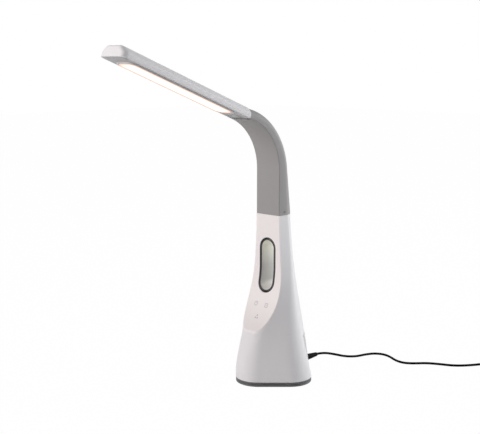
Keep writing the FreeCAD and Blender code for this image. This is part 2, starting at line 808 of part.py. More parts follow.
def build_sleeve():
    """The soft sleeve, one band for each hinge, and the collar that holds its foot."""
    limits = [0.0]
    for index in range(hinge_count - 1):
        limits.append((hinge_distance(index) + hinge_distance(index + 1)) / 2)
    limits.append(neck_end)
    lip = cover_plate(-overrun, sleeve_wall + lip_clear, -lip_clear)
    screw_cut = []
    for side in (1, -1):
        start = Vec(0, -tower_front + side_screw_back, tower_top + side_screw_up)
        screw_cut.append(rod(side_screw_radius + screw_gap, start, RIGHT * side, reach))
    for index in range(hinge_count):
        start = limits[index] + (sleeve_gap / 2 if index else 0)
        end = limits[index + 1] - sleeve_gap / 2
        band = neck_form(start, end, 0).cut(neck_form(start, end, sleeve_wall))
        if index == 0:
            band = band.cut(screw_cut[0]).cut(screw_cut[1])
        if index == hinge_count - 1:
            band = band.cut(lip)
        export(band, "neck_sleeve_" + str(index + 1))
    collar = neck_form(0, collar_height, sleeve_wall + collar_gap)
    collar = collar.cut(neck_form(0, collar_height, sleeve_wall + collar_gap + collar_wall))
    collar = collar.cut(box(Vec(-link_width, -reach, tower_top), Vec(link_width, spine_root_y + link_thick, tower_top + reach)))
    export(collar.cut(screw_cut[0]).cut(screw_cut[1]), "neck_collar")
    screws = []
    for side in (1, -1):
        head_at = Vec(side * neck_width / 2, -tower_front + side_screw_back, tower_top + side_screw_up)
        head = rod(side_screw_head_radius, head_at, RIGHT * side, side_screw_head_height)
        shank = rod(side_screw_radius, head_at, RIGHT * -side, side_screw_length)
        screws.append(head.fuse(shank).removeSplitter())
    export(Part.makeCompound(screws), "neck_side_screws")


def head_place(x, along, up):
    """A place in the head's own directions."""
    return head_root + RIGHT * x + head_along * along + head_up * up


def head_half(along):
    """Half width of the head, which widens towards its tip."""
    share = (along - neck_lead) / (head_length - neck_lead)
    return (neck_width + share * (head_tip_width - neck_width)) / 2


def head_form(inset, start):
    """The head's outer form, or the room inside it."""
    wires = []
    for along in (start, head_length + overrun):
        half = head_half(along)
        right = ((half, 0), (half, head_side), (half - head_back_inset, head_depth))
        rounds = [max(r - inset, r / 4) for r in (neck_edge_round, head_side_round, head_back_round)]
        corners = inset_corners(mirrored(right), inset)
        wires.append(rounded_wire(corners, rounds + rounds[::-1],
                                  lambda x, y, along=along: head_place(x, along, y)))
    return Part.makeLoft(wires, True, True)


def head_plan(inset, start, low, high):
    """The head seen from above, with rounded tip corners, as a prism."""
    side_inset = inset - tip_overlap
    first, last = head_half(start) - side_inset, head_half(head_length) - side_inset
    tip = head_length - side_inset
    corners = [(first, start), (last, tip), (-last, tip), (-first, start)]
    rounds = [neck_edge_round, head_corner_round - inset, head_corner_round - inset, neck_edge_round]
    wire = rounded_wire(corners, rounds, lambda x, y: head_place(x, y, low))
    return Part.Face(wire).extrude(head_up * (high - low))


def head_side_view(inset):
    """The head seen from the side, with its upper tip edge rounded, as a prism across."""
    high = head_depth - inset + tip_overlap
    tip = head_length - inset
    corners = [(-overrun, -overrun), (tip, -overrun), (tip, high), (-overrun, high)]
    rounds = [neck_edge_round, neck_edge_round, head_nose_round - inset, neck_edge_round]
    wire = rounded_wire(corners, rounds, lambda x, y: head_place(-reach, x, y))
    return Part.Face(wire).extrude(RIGHT * (2 * reach))


def cover_plate(low, high, inset):
    """Plan of the head's under cover, with its round lip over the neck's end, as a prism."""
    edge = head_wall + cover_gap + inset
    first, last = head_half(neck_lead) - edge, head_half(head_length) - edge
    tip = head_length - edge
    round_here = head_corner_round - head_wall
    root_left, root_right = head_place(-first, neck_lead, low), head_place(first, neck_lead, low)
    lip_middle = head_place(0, neck_lead - lip_reach + inset, low)
    diagonal = round_here * (1 - math.sqrt(0.5))
    edges = [
        Part.Arc(root_left, lip_middle, root_right).toShape(),
        Part.LineSegment(root_right, head_place(last, tip - round_here, low)).toShape(),
        Part.Arc(head_place(last, tip - round_here, low), head_place(last - diagonal, tip - diagonal, low),
                 head_place(last - round_here, tip, low)).toShape(),
        Part.LineSegment(head_place(last - round_here, tip, low),
                         head_place(round_here - last, tip, low)).toShape(),
        Part.Arc(head_place(round_here - last, tip, low), head_place(diagonal - last, tip - diagonal, low),
                 head_place(-last, tip - round_here, low)).toShape(),
        Part.LineSegment(head_place(-last, tip - round_here, low), root_left).toShape(),
    ]
    return Part.Face(Part.Wire(edges)).extrude(head_up * (high - low))


def lens_plan(grow, low, high):
    """Round-cornered plan of the lit window, as a prism."""
    half, first, last = lens_half_width + grow, lens_start - grow, lens_end + grow
    corners = [(half, first), (half, last), (-half, last), (-half, first)]
    wire = rounded_wire(corners, [lens_corner + grow] * 4, lambda x, y: head_place(x, y, low))
    return Part.Face(wire).extrude(head_up * (high - low))


def head_screw_places():
    """The two screws through the under cover."""
    return [head_place(side * head_screw_spread, head_screw_place, 0) for side in (1, -1)]


def build_head(arm_depth):
    """Top shell, under cover, window and the light inside."""
    root = neck_lead - overrun
    whole = head_form(0, neck_lead).common(head_plan(0, root, -overrun, reach))
    whole = whole.common(head_side_view(0))
    room = head_form(head_wall, root).common(head_plan(head_wall, root, -overrun, reach))
    room = room.common(head_side_view(head_wall))
    mouth = head_plan(head_wall, root, -overrun, head_wall + cover_gap)
    export(whole.cut(room.fuse(mouth)), "head_shell")

    cover = cover_plate(0, cover_thick, 0).cut(lens_plan(lens_gap, -overrun, reach))
    arm_under = arm_depth - link_thick / 2
    for place in head_screw_places():
        cover = cover.fuse(rod(head_boss_radius, place, head_up, arm_under))
    screws = []
    for place in head_screw_places():
        sink = place + head_up * (head_screw_sink - head_screw_head_height)
        cover = cover.cut(rod(head_screw_head_radius + screw_gap, place, head_up, head_screw_sink))
        cover = cover.cut(rod(head_screw_radius + screw_gap, place, head_up, reach))
        head = rod(head_screw_head_radius, sink, head_up, head_screw_head_height)
        shank = rod(head_screw_radius, sink, head_up, head_screw_length)
        screws.append(head.fuse(shank).removeSplitter())
    export(cover.removeSplitter(), "head_cover")
    export(Part.makeCompound(screws), "head_screws")

    lens = lens_plan(0, -lens_drop, cover_thick + lens_flange)
    rim = head_place(0, 0, -lens_drop)
    low_edges = [e for e in lens.Edges
                 if abs((e.CenterOfMass - rim).dot(head_up)) < lens_edge_round / 2]
    lens = lens.makeFillet(lens_edge_round, low_edges)
    lens = lens.fuse(lens_plan(lens_flange, cover_thick, cover_thick + lens_flange)).removeSplitter()
    export(lens, "light_window")
    frame_low = cover_thick + lens_flange
    frame_high = frame_low + frame_height
    tray = lens_plan(0, frame_low, frame_high).cut(lens_plan(-frame_wall, frame_low, frame_high))
    export(tray, "light_tray")
    strip_high = frame_high + strip_thick
    export(lens_plan(0, frame_high, strip_high), "led_strip")
    export(lens_plan(-spreader_inset, strip_high, strip_high + spreader_thick), "heat_spreader")
    lamps = []
    pitch = (lens_end - lens_start - 2 * lens_corner) / (led_columns - 1)
    for row in range(led_rows):
        across = led_row_half * (2 * row - 1)
        for column in range(led_columns):
            along = lens_start + lens_corner + pitch * column
            corners = [(across - led_size / 2, along - led_size / 2), (across + led_size / 2, along - led_size / 2),
                       (across + led_size / 2, along + led_size / 2), (across - led_size / 2, along + led_size / 2)]
            points = [head_place(x, y, frame_high - led_height) for x, y in corners]
            lamps.append(Part.Face(Part.makePolygon(points + points[:1])).extrude(head_up * led_height))
    export(Part.makeCompound(lamps), "led_lamps")


def smooth_path(points):
    """Straight runs joined by the largest tangent arcs, and the arcs' radii."""
    edges, radii = [], []
    here = points[0]
    for index in range(1, len(points) - 1):
        corner = points[index]
        into = corner - points[index - 1]
        out = points[index + 1] - corner
        cut = cord_arc_share * min(into.Length, out.Length)
        turn = into.getAngle(out)
        radius = cut / math.tan(turn / 2)
        radii.append(radius)
        into.normalize()
        out.normalize()
        start, end = corner - into * cut, corner + out * cut
        bisector = (out - into).normalize()
        middle = corner + bisector * (radius / math.cos(turn / 2) - radius)
        edges.append(Part.LineSegment(here, start).toShape())
        edges.append(Part.Arc(start, middle, end).toShape())
        here = end
    edges.append(Part.LineSegment(here, points[-1]).toShape())
    return Part.Wire(edges), radii


def tube(path, start, along):
    """A round cord along a path."""
    section = Part.Wire(Part.makeCircle(cord_diameter / 2, start, along))
    pipe = Part.BRepOffsetAPI.MakePipeShell(path)
    pipe.add(section)
    pipe.build()
    pipe.makeSolid()
    return pipe.shape()


def biarc(start, start_along, end, end_along):
    """Two arcs that leave one place and reach another in given directions."""
    span = end - start
    both = start_along + end_along
    square = both.dot(both) - 4
    linear = -2 * span.dot(both)
    reach_each = (-linear - math.sqrt(linear * linear - 4 * square * span.dot(span))) / (2 * square)
    if reach_each < 0:
        reach_each = (-linear + math.sqrt(linear * linear - 4 * square * span.dot(span))) / (2 * square)
    knee_start = start + start_along * reach_each
    knee_end = end - end_along * reach_each
    middle = (knee_start + knee_end) * 0.5
    return [bulge_arc(start, knee_start, middle), bulge_arc(middle, knee_end, end)]


def bulge_arc(start, knee, end):
    """The arc between two places whose tangents meet at the knee."""
    chord = end - start
    half_turn = chord.getAngle(knee - start)
    chord_middle = (start + end) * 0.5
    outward = (knee - chord_middle).normalize()
    rise = chord.Length / 2 * math.tan(half_turn / 2)
    return Part.Arc(start, chord_middle + outward * rise, end).toShape()


coil_pitch = cord_diameter + coil_turn_gap
coil_middle_radius = coil_middle_diameters * cord_diameter / 2
coil_outer = coil_middle_radius + coil_spiral_turns * coil_pitch / 2
coil_inner = coil_middle_radius - coil_spiral_turns * coil_pitch / 2
coil_turns = coil_layers * coil_spiral_turns + (coil_layers - 1) * coil_climb_turns


def coil_place(turn, centre, first_angle, low):
    """A place on the coil after so many turns: spirals in and out, and climbs between layers."""
    cycle = coil_spiral_turns + coil_climb_turns
    layer = min(int(turn / cycle), coil_layers - 1)
    within = turn - layer * cycle
    inwards = layer % 2 == 0
    spiral = min(within / coil_spiral_turns, 1.0)
    radius = coil_outer + (coil_inner - coil_outer) * (spiral if inwards else 1 - spiral)
    climb = max(within - coil_spiral_turns, 0.0) / coil_climb_turns
    height = low + coil_pitch * (layer + (1 - math.cos(math.pi * climb)) / 2)
    angle = first_angle - 2 * math.pi * turn
    return centre + Vec(radius * math.cos(angle), radius * math.sin(angle), height)


def build_coil(entry, along):
    """The put-away length: one unbroken tube in layers, with its tie."""
    side = UP.cross(along)
    flat = Vec(entry.x, entry.y, 0)
    centre = flat - side * coil_outer
    first_angle = math.atan2(side.y, side.x)

    def place(turn):
        return coil_place(turn, centre, first_angle, entry.z)

    def direction(turn):
        tiny = 1.0 / coil_check_steps / coil_check_steps
        low, high = max(turn - tiny, 0.0), min(turn + tiny, coil_turns)
        return (place(high) - place(low)).normalize()

    marks = [0.0]
    for layer in range(coil_layers):
        for step in range(coil_spiral_steps):
            marks.append(marks[-1] + coil_spiral_turns / coil_spiral_steps)
        if layer < coil_layers - 1:
            for step in range(coil_climb_steps):
                marks.append(marks[-1] + coil_climb_turns / coil_climb_steps)
    lead_in = entry - along * cord_diameter
    last = place(coil_turns)
    lead_out = last + along * cord_diameter
    ways = [direction(mark) for mark in marks]
    ways[0] = ways[-1] = along
    edges = [Part.LineSegment(lead_in, entry).toShape()]
    for index in range(len(marks) - 1):
        edges.extend(biarc(place(marks[index]), ways[index], place(marks[index + 1]), ways[index + 1]))
    edges.append(Part.LineSegment(last, lead_out).toShape())
    path = Part.Wire(edges)
    coil = tube(path, lead_in, along)
    export(coil, "cord_coil")
    area = math.pi * cord_diameter * cord_diameter / 4
    print("coil length", round(path.Length, 1), "volume share", round(coil.Volume / (area * path.Length), 4))

    samples = [place(coil_turns * i / (coil_check_steps * coil_turns)) for i in range(int(coil_check_steps * coil_turns))]
    apart = coil_check_steps // 2
    least = min((samples[i] - samples[j]).Length for i in range(len(samples))
                for j in range(i + apart, len(samples)))
    print("coil least gap", round(least - cord_diameter, 2))

    half_high = cord_diameter / 2 + tie_gap
    inner_edge = coil_inner - cord_diameter / 2
    low_r = math.sqrt(inner_edge * inner_edge - tie_width * tie_width / 4) - tie_gap
    high_r = coil_outer + half_high
    low_z, high_z = entry.z - half_high, entry.z + coil_pitch * (coil_layers - 1) + half_high
    outer = box(Vec(low_r - tie_thick, -tie_width / 2, low_z - tie_thick),
                Vec(high_r + tie_thick, tie_width / 2, high_z + tie_thick))
    tie = outer.cut(box(Vec(low_r, -tie_width, low_z), Vec(high_r, tie_width, high_z)))
    tie.rotate(Vec(0, 0, 0), UP, math.degrees(first_angle) + tie_turn)
    tie.translate(centre)
    export(tie, "coil_tie")
    return lead_out


def build_cord():
    """Plug, free run, coil and wall adapter."""
    points = [Vec(*point) for point in cord_points]
    plug_root = Vec(0, foot_back + plug_shell_gap, jack_height)
    body = Part.makeCone(plug_base_radius, plug_end_radius, plug_body_length, plug_root, BACK)
    tail_root = plug_root + BACK * plug_body_length
    tail = Part.makeCone(plug_end_radius, plug_tail_radius, plug_tail_length, tail_root, BACK)
    barrel_root = Vec(0, foot_back - tower_wall / 2 - barrel_length, jack_height)
    barrel = rod(barrel_radius, barrel_root, BACK, plug_root.y - barrel_root.y)
    plug = fuse_all([body, tail, barrel])
    export(plug, "cord_plug")
    along_last = points[-1] - points[-2]
    along_last.z = 0
    along_last.normalize()
    entry = points[-1] + along_last * cord_diameter
    path, radii = smooth_path(points)
    run = tube(path, points[0], points[1] - points[0])
    area = math.pi * cord_diameter * cord_diameter / 4
    print("cord run length", round(path.Length, 1), "volume share", round(run.Volume / (area * path.Length), 4))
    print("cord run radii", [round(radius, 1) for radius in radii])
    export(run, "cord_run")
    coil_end = build_coil(entry, along_last)

    relief = Part.makeCone(relief_tip_radius, relief_root_radius, relief_length, coil_end, along_last)
    export(relief, "adapter_relief")
    face = coil_end + along_last * relief_length
    across = UP.cross(along_last)
    low = Vec(face.x, face.y, 0) - across * (adapter_width / 2)
    half = Part.makePolygon([low, low + across * adapter_width, low + across * adapter_width + along_last * adapter_length,
                             low + along_last * adapter_length, low])
    adapter = Part.Face(half).extrude(UP * adapter_height)
    upright = [e for e in adapter.Edges if abs(e.Length - adapter_height) < screw_gap]
    adapter = adapter.makeFillet(adapter_round, upright)
    export(adapter, "wall_adapter")
    prongs = []
    end = face + along_last * adapter_length
    for side in (1, -1):
        middle = Vec(end.x, end.y, adapter_height / 2) + across * (side * prong_spread / 2)
        corner = middle - across * (prong_thick / 2) - UP * (prong_width / 2)
        face_points = [corner, corner + across * prong_thick, corner + across * prong_thick + UP * prong_width,
                       corner + UP * prong_width, corner]
        prongs.append(Part.Face(Part.makePolygon(face_points)).extrude(along_last * prong_length))
    export(Part.makeCompound(prongs), "adapter_prongs")


os.makedirs("parts", exist_ok=True)
build_foot()
build_tower()
build_signs()
build_power()
build_blower()
build_head(build_spine())
build_sleeve()
build_cord()
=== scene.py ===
import json
import logging
import math
from dataclasses import dataclass, field
from enum import Enum
from typing import Dict, List, Optional, Sequence, Tuple, Union

import bmesh
import bpy
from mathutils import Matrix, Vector


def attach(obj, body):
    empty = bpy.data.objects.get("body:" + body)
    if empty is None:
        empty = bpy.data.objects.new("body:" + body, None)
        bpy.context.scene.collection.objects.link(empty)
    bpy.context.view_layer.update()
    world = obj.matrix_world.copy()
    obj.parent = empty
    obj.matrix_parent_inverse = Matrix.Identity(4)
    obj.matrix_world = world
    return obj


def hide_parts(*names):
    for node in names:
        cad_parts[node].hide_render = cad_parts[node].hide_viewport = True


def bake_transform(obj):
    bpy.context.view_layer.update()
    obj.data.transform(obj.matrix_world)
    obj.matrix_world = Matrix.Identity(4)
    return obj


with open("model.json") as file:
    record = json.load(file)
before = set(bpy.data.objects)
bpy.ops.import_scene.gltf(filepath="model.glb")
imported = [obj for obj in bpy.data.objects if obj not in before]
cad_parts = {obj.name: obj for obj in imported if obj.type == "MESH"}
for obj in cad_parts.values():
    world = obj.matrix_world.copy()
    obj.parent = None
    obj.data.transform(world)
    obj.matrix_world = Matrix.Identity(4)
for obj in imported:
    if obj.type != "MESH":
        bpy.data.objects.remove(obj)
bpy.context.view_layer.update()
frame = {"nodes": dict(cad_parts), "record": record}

LOG = logging.getLogger("desk_lamp")
Point = Tuple[float, float, float]
Colour = Tuple[float, float, float]
Tree = bpy.types.NodeTree
Node = bpy.types.Node
Socket = bpy.types.NodeSocket
Material = bpy.types.Material
Object = bpy.types.Object
Shape = bmesh.types.BMesh
Feeds = Dict[Union[str, int], object]

MM = 0.001
MERGE = 0.0000005
WELD = 0.000002
CREASE = 32.0
SOFT_CREASE = 40.0
ROUGHNESS_DRIFT = 0.12
COAT_ROUGHNESS = 0.12
GRAIN_INPUTS: Dict[str, float] = {
    "Tone": 0.04, "Roughness": 0.4, "Roughness drift": 0.06, "Grain scale": 2500.0, "Drift scale": 14.0,
}
GRAIN_DETAIL: Dict[str, float] = {"Drift scale": 3.0, "Grain scale": 2.0}
RIGHT = Vector((1.0, 0.0, 0.0))
BACK = Vector((0.0, 1.0, 0.0))
UP = Vector((0.0, 0.0, 1.0))


class Skin(Enum):
    """What kind of surface a finish is."""

    MOULDED = "moulded"
    SILICONE = "silicone"
    METAL = "metal"
    RUBBER = "rubber"
    BOARD = "board"


def connect(port: Socket, value: object) -> None:
    """Feed one input of a node.

    Args:
        port: The input.
        value: A socket, which is linked, or a value, where three numbers are an opaque colour.
    """
    if isinstance(value, bpy.types.NodeSocket):
        port.id_data.links.new(value, port)
    elif port.type == "RGBA" and len(value) == 3:
        port.default_value = (*value, 1.0)
    else:
        port.default_value = value


def add_node(tree: Tree, kind: str, feeds: Optional[Feeds] = None, **settings: object) -> Node:
    """Put one node into a tree.

    Args:
        tree: The tree that gets the node.
        kind: Blender's name for the node type.
        feeds: What goes into its inputs, by their names or numbers.
        settings: Properties of the node, by name.

    Returns:
        The new node.
    """
    node = tree.nodes.new(kind)
    for name, value in settings.items():
        setattr(node, name, value)
    for key, value in (feeds or {}).items():
        connect(node.inputs[key], value)
    return node


def maths(tree: Tree, operation: str, *values: object, clamp: bool = False) -> Socket:
    """Add a Math node and feed it.

    Args:
        tree: The tree that gets the node.
        operation: The Math node's operation.
        values: Sockets or numbers, as many as the operation has.
        clamp: Whether the result stays between 0 and 1.

    Returns:
        The result's socket.
    """
    feeds = dict(enumerate(values))
    return add_node(tree, "ShaderNodeMath", feeds, operation=operation, use_clamp=clamp).outputs[0]


def mixed(tree: Tree, share: Socket, first: object, second: object) -> Socket:
    """Mix two colours, each a socket or three numbers, by a share.

    Args:
        tree: The tree that gets the node.
        share: How much of the second colour shows.
        first: The colour at share 0.
        second: The colour at share 1.

    Returns:
        The mixed colour's socket.
    """
    node = add_node(tree, "ShaderNodeMix", {0: share}, data_type="RGBA")
    ports = [socket for socket in node.inputs if socket.type == "RGBA"]
    for port, colour in zip(ports, (first, second)):
        connect(port, colour)
    return next(socket for socket in node.outputs if socket.type == "RGBA")


def ramp(tree: Tree, value: Socket, low: float, high: float) -> Socket:
    """A share that runs from 0 at a low value to 1 at a high one."""
    return maths(tree, "DIVIDE", maths(tree, "SUBTRACT", value, low), high - low, clamp=True)


def add_ports(tree: Tree, side: str, kinds: Dict[str, str]) -> None:
    """Give a node group its inputs or outputs.

    Args:
        tree: The group.
        side: INPUT or OUTPUT.
        kinds: The kind of each socket, by its name.
    """
    for name, kind in kinds.items():
        tree.interface.new_socket(name, in_out=side, socket_type=f"NodeSocket{kind}")


def grain_group() -> Tree:
    """The fine tooth and slow drift of tone that all moulded surfaces of the lamp share.

    Returns:
        A shader node group with a colour, a roughness and a height over the surface.
    """
    name = "moulded_grain"
    if name in bpy.data.node_groups:
        return bpy.data.node_groups[name]
    tree = bpy.data.node_groups.new(name, "ShaderNodeTree")
    add_ports(tree, "INPUT", {"Colour": "Color", **{label: "Float" for label in GRAIN_INPUTS}})
    add_ports(tree, "OUTPUT", {"Colour": "Color", "Roughness": "Float", "Height": "Float"})
    for item in tree.interface.items_tree:
        if item.in_out == "INPUT" and item.name in GRAIN_INPUTS:
            item.default_value = GRAIN_INPUTS[item.name]
    entry = add_node(tree, "NodeGroupInput").outputs
    place = add_node(tree, "ShaderNodeTexCoord").outputs["Object"]
    drift, fine = [
        add_node(tree, "ShaderNodeTexNoise", {"Vector": place, "Scale": entry[scale], "Detail": detail},
                 noise_dimensions="3D").outputs["Fac"]
        for scale, detail in GRAIN_DETAIL.items()
    ]
    centred = maths(tree, "SUBTRACT", drift, 0.5)
    shade = maths(tree, "MULTIPLY_ADD", centred, entry["Tone"], 1.0)
    tinted = add_node(tree, "ShaderNodeVectorMath", {0: entry["Colour"], "Scale": shade}, operation="SCALE")
    wander = maths(tree, "MULTIPLY", centred, entry["Roughness drift"])
    rough = maths(tree, "ADD", wander, entry["Roughness"], clamp=True)
    add_node(tree, "NodeGroupOutput", {"Colour": tinted.outputs[0], "Roughness": rough, "Height": fine})
    return tree


def blank_material(label: str, casts_light: bool = True) -> Material:
    """A material with an empty tree.

    Args:
        label: What the material is called.
        casts_light: Whether its glow is sampled as a light.

    Returns:
        The new material.
    """
    material = bpy.data.materials.new(label)
    material.use_nodes = True
    material.node_tree.nodes.clear()
    if not casts_light:
        material.cycles.emission_sampling = "NONE"
    return material


def principled(tree: Tree, feeds: Feeds) -> None:
    """End a material's tree with one Principled shader and what goes into it."""
    shader = add_node(tree, "ShaderNodeBsdfPrincipled", feeds)
    add_node(tree, "ShaderNodeOutputMaterial", {"Surface": shader.outputs[0]})


@dataclass(frozen=True)
class Finish:
    """One finish of the lamp: its colour, gloss and grain.

    Attributes:
        name: What the finish is called.
        skin: What kind of surface it is.
        colour: Base colour, linear.
        roughness: Mean roughness.
        tone: How far the colour drifts over the surface, as a share.
        grain: Grain cells per metre.
        tooth: Depth of the grain in metres.
        coat: Weight of a clear gloss layer.
        shine: Specular level, where a half is plain plastic.
    """

    name: str
    skin: Skin
    colour: Colour
    roughness: float
    tone: float = 0.05
    grain: float = 2500.0
    tooth: float = 0.00002
    coat: float = 0.0
    shine: float = 0.5

    def material(self) -> Material:
        """Build the finish's material, or hand back the one that is already there."""
        label = f"{self.name}_finish"
        if label in bpy.data.materials:
            return bpy.data.materials[label]
        material = blank_material(label)
        material.diffuse_color = (*self.colour, 1.0)
        tree = material.node_tree
        grain = add_node(tree, "ShaderNodeGroup", {
            "Colour": self.colour, "Tone": self.tone, "Roughness": self.roughness,
            "Roughness drift": ROUGHNESS_DRIFT, "Grain scale": self.grain,
        }, node_tree=grain_group()).outputs
        bump = add_node(tree, "ShaderNodeBump",
                        {"Strength": 1.0, "Distance": self.tooth, "Height": grain["Height"]})
        principled(tree, {
            "Base Color": grain["Colour"], "Roughness": grain["Roughness"], "Normal": bump.outputs[0],
            "Metallic": 1.0 if self.skin is Skin.METAL else 0.0, "Coat Weight": self.coat,
            "Coat Roughness": COAT_ROUGHNESS, "Specular IOR Level": self.shine,
        })
        return material


WHITE_SHELL = Finish("white_shell", Skin.MOULDED, (0.83, 0.815, 0.83), 0.54,
                     tone=0.02, tooth=0.0000015, shine=0.2)
FRONT_GLOSS = Finish("front_gloss", Skin.MOULDED, (0.89, 0.832, 0.834), 0.36,
                     tone=0.015, tooth=0.000002, coat=0.1)
SIGN_PRINT = Finish("sign_print", Skin.MOULDED, (0.52, 0.49, 0.50), 0.5, tooth=0.000002)
# Near-black of the air ring: painted shade, standing for the dark air slot round the opening.
SHADE_BLACK_PLASTIC = Finish("dark_plastic", Skin.MOULDED, (0.006, 0.006, 0.007), 0.45,
                      tone=0.2, tooth=0.000003, shine=0.2)
FOOT_GREY = Finish("foot_grey", Skin.MOULDED, (0.105, 0.108, 0.112), 0.5, tone=0.1, tooth=0.000004)
SOFT_GREY = Finish("soft_grey", Skin.SILICONE, (0.312, 0.300, 0.298), 0.62,
                   tone=0.03, grain=3200.0, tooth=0.000006)
# Grey of the head's underside cover: partly its own light grey, partly painted shade of white plastic.
COVER_GREY_AND_SHADE = Finish("cover_grey", Skin.MOULDED, (0.42, 0.41, 0.42), 0.46, tone=0.03, tooth=0.000003)
BLACK_RUBBER = Finish("black_rubber", Skin.RUBBER, (0.004, 0.004, 0.0045), 0.5,
                      tone=0.25, grain=1800.0, tooth=0.00001, shine=0.03)
DARK_STEEL = Finish("dark_steel", Skin.METAL, (0.16, 0.16, 0.165), 0.42,
                    tone=0.1, grain=4000.0, tooth=0.000003)
PLAIN_STEEL = Finish("plain_steel", Skin.METAL, (0.55, 0.55, 0.56), 0.32, tone=0.08, grain=4000.0)
BLACK_IRON = Finish("black_iron", Skin.METAL, (0.10, 0.10, 0.11), 0.55, tone=0.2)
ALUMINIUM = Finish("plain_aluminium", Skin.METAL, (0.75, 0.75, 0.76), 0.35)
GREEN_BOARD = Finish("green_board", Skin.BOARD, (0.02, 0.12, 0.05), 0.4, tone=0.2)
CREAM_PLASTIC = Finish("cream_plastic", Skin.MOULDED, (0.62, 0.61, 0.56), 0.5, tone=0.03)
LED_YELLOW = Finish("led_yellow", Skin.MOULDED, (0.85, 0.75, 0.30), 0.3)
PLAIN_BRASS = Finish("plain_brass", Skin.METAL, (0.78, 0.62, 0.30), 0.28, tone=0.1)
FINISHES: Dict[str, Finish] = {
    **{finish.name: finish for finish in (WHITE_SHELL, FRONT_GLOSS, SIGN_PRINT, SHADE_BLACK_PLASTIC,
                                          FOOT_GREY, SOFT_GREY, COVER_GREY_AND_SHADE)},
    "rubber": BLACK_RUBBER, "steel": PLAIN_STEEL, "iron": BLACK_IRON, "aluminium": ALUMINIUM,
    "board": GREEN_BOARD, "cream": CREAM_PLASTIC, "led": LED_YELLOW, "brass": PLAIN_BRASS,
}


def new_object(name: str, data: bpy.types.ID) -> Object:
    """Link a new object into the scene."""
    obj = bpy.data.objects.new(name, data)
    bpy.context.scene.collection.objects.link(obj)
    return obj


def discard(obj: Object) -> None:
    """Remove an object and its mesh."""
    mesh = obj.data
    bpy.data.objects.remove(obj)
    bpy.data.meshes.remove(mesh)


def wear(obj: Object, material: Material) -> None:
    """Give a whole object one material."""
    obj.data.materials.clear()
    obj.data.materials.append(material)


def stand_in(obj: Object, finish: Finish, body: str, slot: str, *nodes: str) -> None:
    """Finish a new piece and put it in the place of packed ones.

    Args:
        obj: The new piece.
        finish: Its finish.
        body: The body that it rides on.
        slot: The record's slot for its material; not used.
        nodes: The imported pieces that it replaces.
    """
    wear(obj, finish.material())
    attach(obj, body)
    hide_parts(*nodes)


def finished_copy(node: str, name: str, body: str, finish: Finish, crease: float = CREASE) -> Object:
    """A smooth-shaded stand-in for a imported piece, with its facets welded.

    Args:
        node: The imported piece.
        name: What the new piece is called.
        body: The body that it rides on.
        finish: Its finish.
        crease: Edges that turn by more degrees than this stay sharp.

    Returns:
        The new piece.
    """
    mesh = frame["nodes"][node].data.copy()
    mesh.name = name
    shape = bmesh.new()
    shape.from_mesh(mesh)
    bmesh.ops.remove_doubles(shape, verts=shape.verts, dist=WELD)
    for face in shape.faces:
        face.smooth = True
    shape.to_mesh(mesh)
    shape.free()
    mesh.set_sharp_from_angle(angle=math.radians(crease))
    obj = new_object(name, mesh)
    wear(obj, finish.material())
    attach(obj, body)
    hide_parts(node)
    return obj


def rounded_outline(corners: Sequence[Vector], radii: Sequence[float],
                    inset: float, steps: int) -> List[Vector]:
    """A closed outline of straight sides and corner arcs.

    Args:
        corners: The sharp corners, anticlockwise.
        radii: The round of each corner.
        inset: How far every side is moved inwards.
        steps: Steps along each arc.

    Returns:
        Points in order, beginning at the first corner's arc.
    """
    points: List[Vector] = []
    for index, here in enumerate(corners):
        into = (here - corners[index - 1]).normalized()
        out = (corners[(index + 1) % len(corners)] - here).normalized()
        turn = into.angle(out)
        inward = (out - into).normalized()
        radius = max(radii[index] - inset, radii[index] / 4)
        centre = here + inward * ((inset + radius) / math.cos(turn / 2))
        start = math.atan2(-into.x, into.y)
        for step in range(steps + 1):
            angle = start + turn * step / steps
            points.append(centre + Vector((math.cos(angle), math.sin(angle))) * radius)
    return points


def flipped(points: Sequence[Vector]) -> List[Vector]:
    """The mirror image of a row of flat points, from its end to its beginning."""
    return [Vector((-p.x, p.y)) for p in reversed(points)]


def mirrored(right: Sequence[Vector]) -> List[Vector]:
    """A whole outline from its right half, front to back."""
    return list(right) + flipped(right)


def rectangle(half: float, low: float, high: float) -> List[Vector]:
    """The four corners of an upright rectangle, anticlockwise."""
    return [Vector(corner) for corner in ((-half, low), (half, low), (half, high), (-half, high))]


def circle(radius: float, sides: int) -> List[Vector]:
    """Flat points round a circle, anticlockwise."""
    angles = [math.tau * i / sides for i in range(sides)]
    return [Vector((radius * math.cos(angle), radius * math.sin(angle))) for angle in angles]


def lifted(points: Sequence[Vector], z: float) -> List[Vector]:
    """Points moved to one height."""
    return [Vector((p.x, p.y, z)) for p in points]


def spaced(path: Sequence[Vector], count: int) -> List[Vector]:
    """Points at equal steps along a broken line, both its ends among them."""
    lengths = [0.0]
    for a, b in zip(path, path[1:]):
        lengths.append(lengths[-1] + (b - a).length)
    points, index = [], 0
    for step in range(count):
        goal = lengths[-1] * step / (count - 1)
        while index < len(path) - 2 and lengths[index + 1] < goal:
            index += 1
        span = lengths[index + 1] - lengths[index]
        share = (goal - lengths[index]) / span if span > 0.0 else 0.0
        points.append(path[index].lerp(path[index + 1], min(max(share, 0.0), 1.0)))
    return points


def drawn_in(past: float, radius: float) -> float:
    """How far a quarter round has drawn in, so far past its beginning."""
    past = max(past, 0.0)
    return radius - math.sqrt(max(radius ** 2 - past ** 2, 0.0))


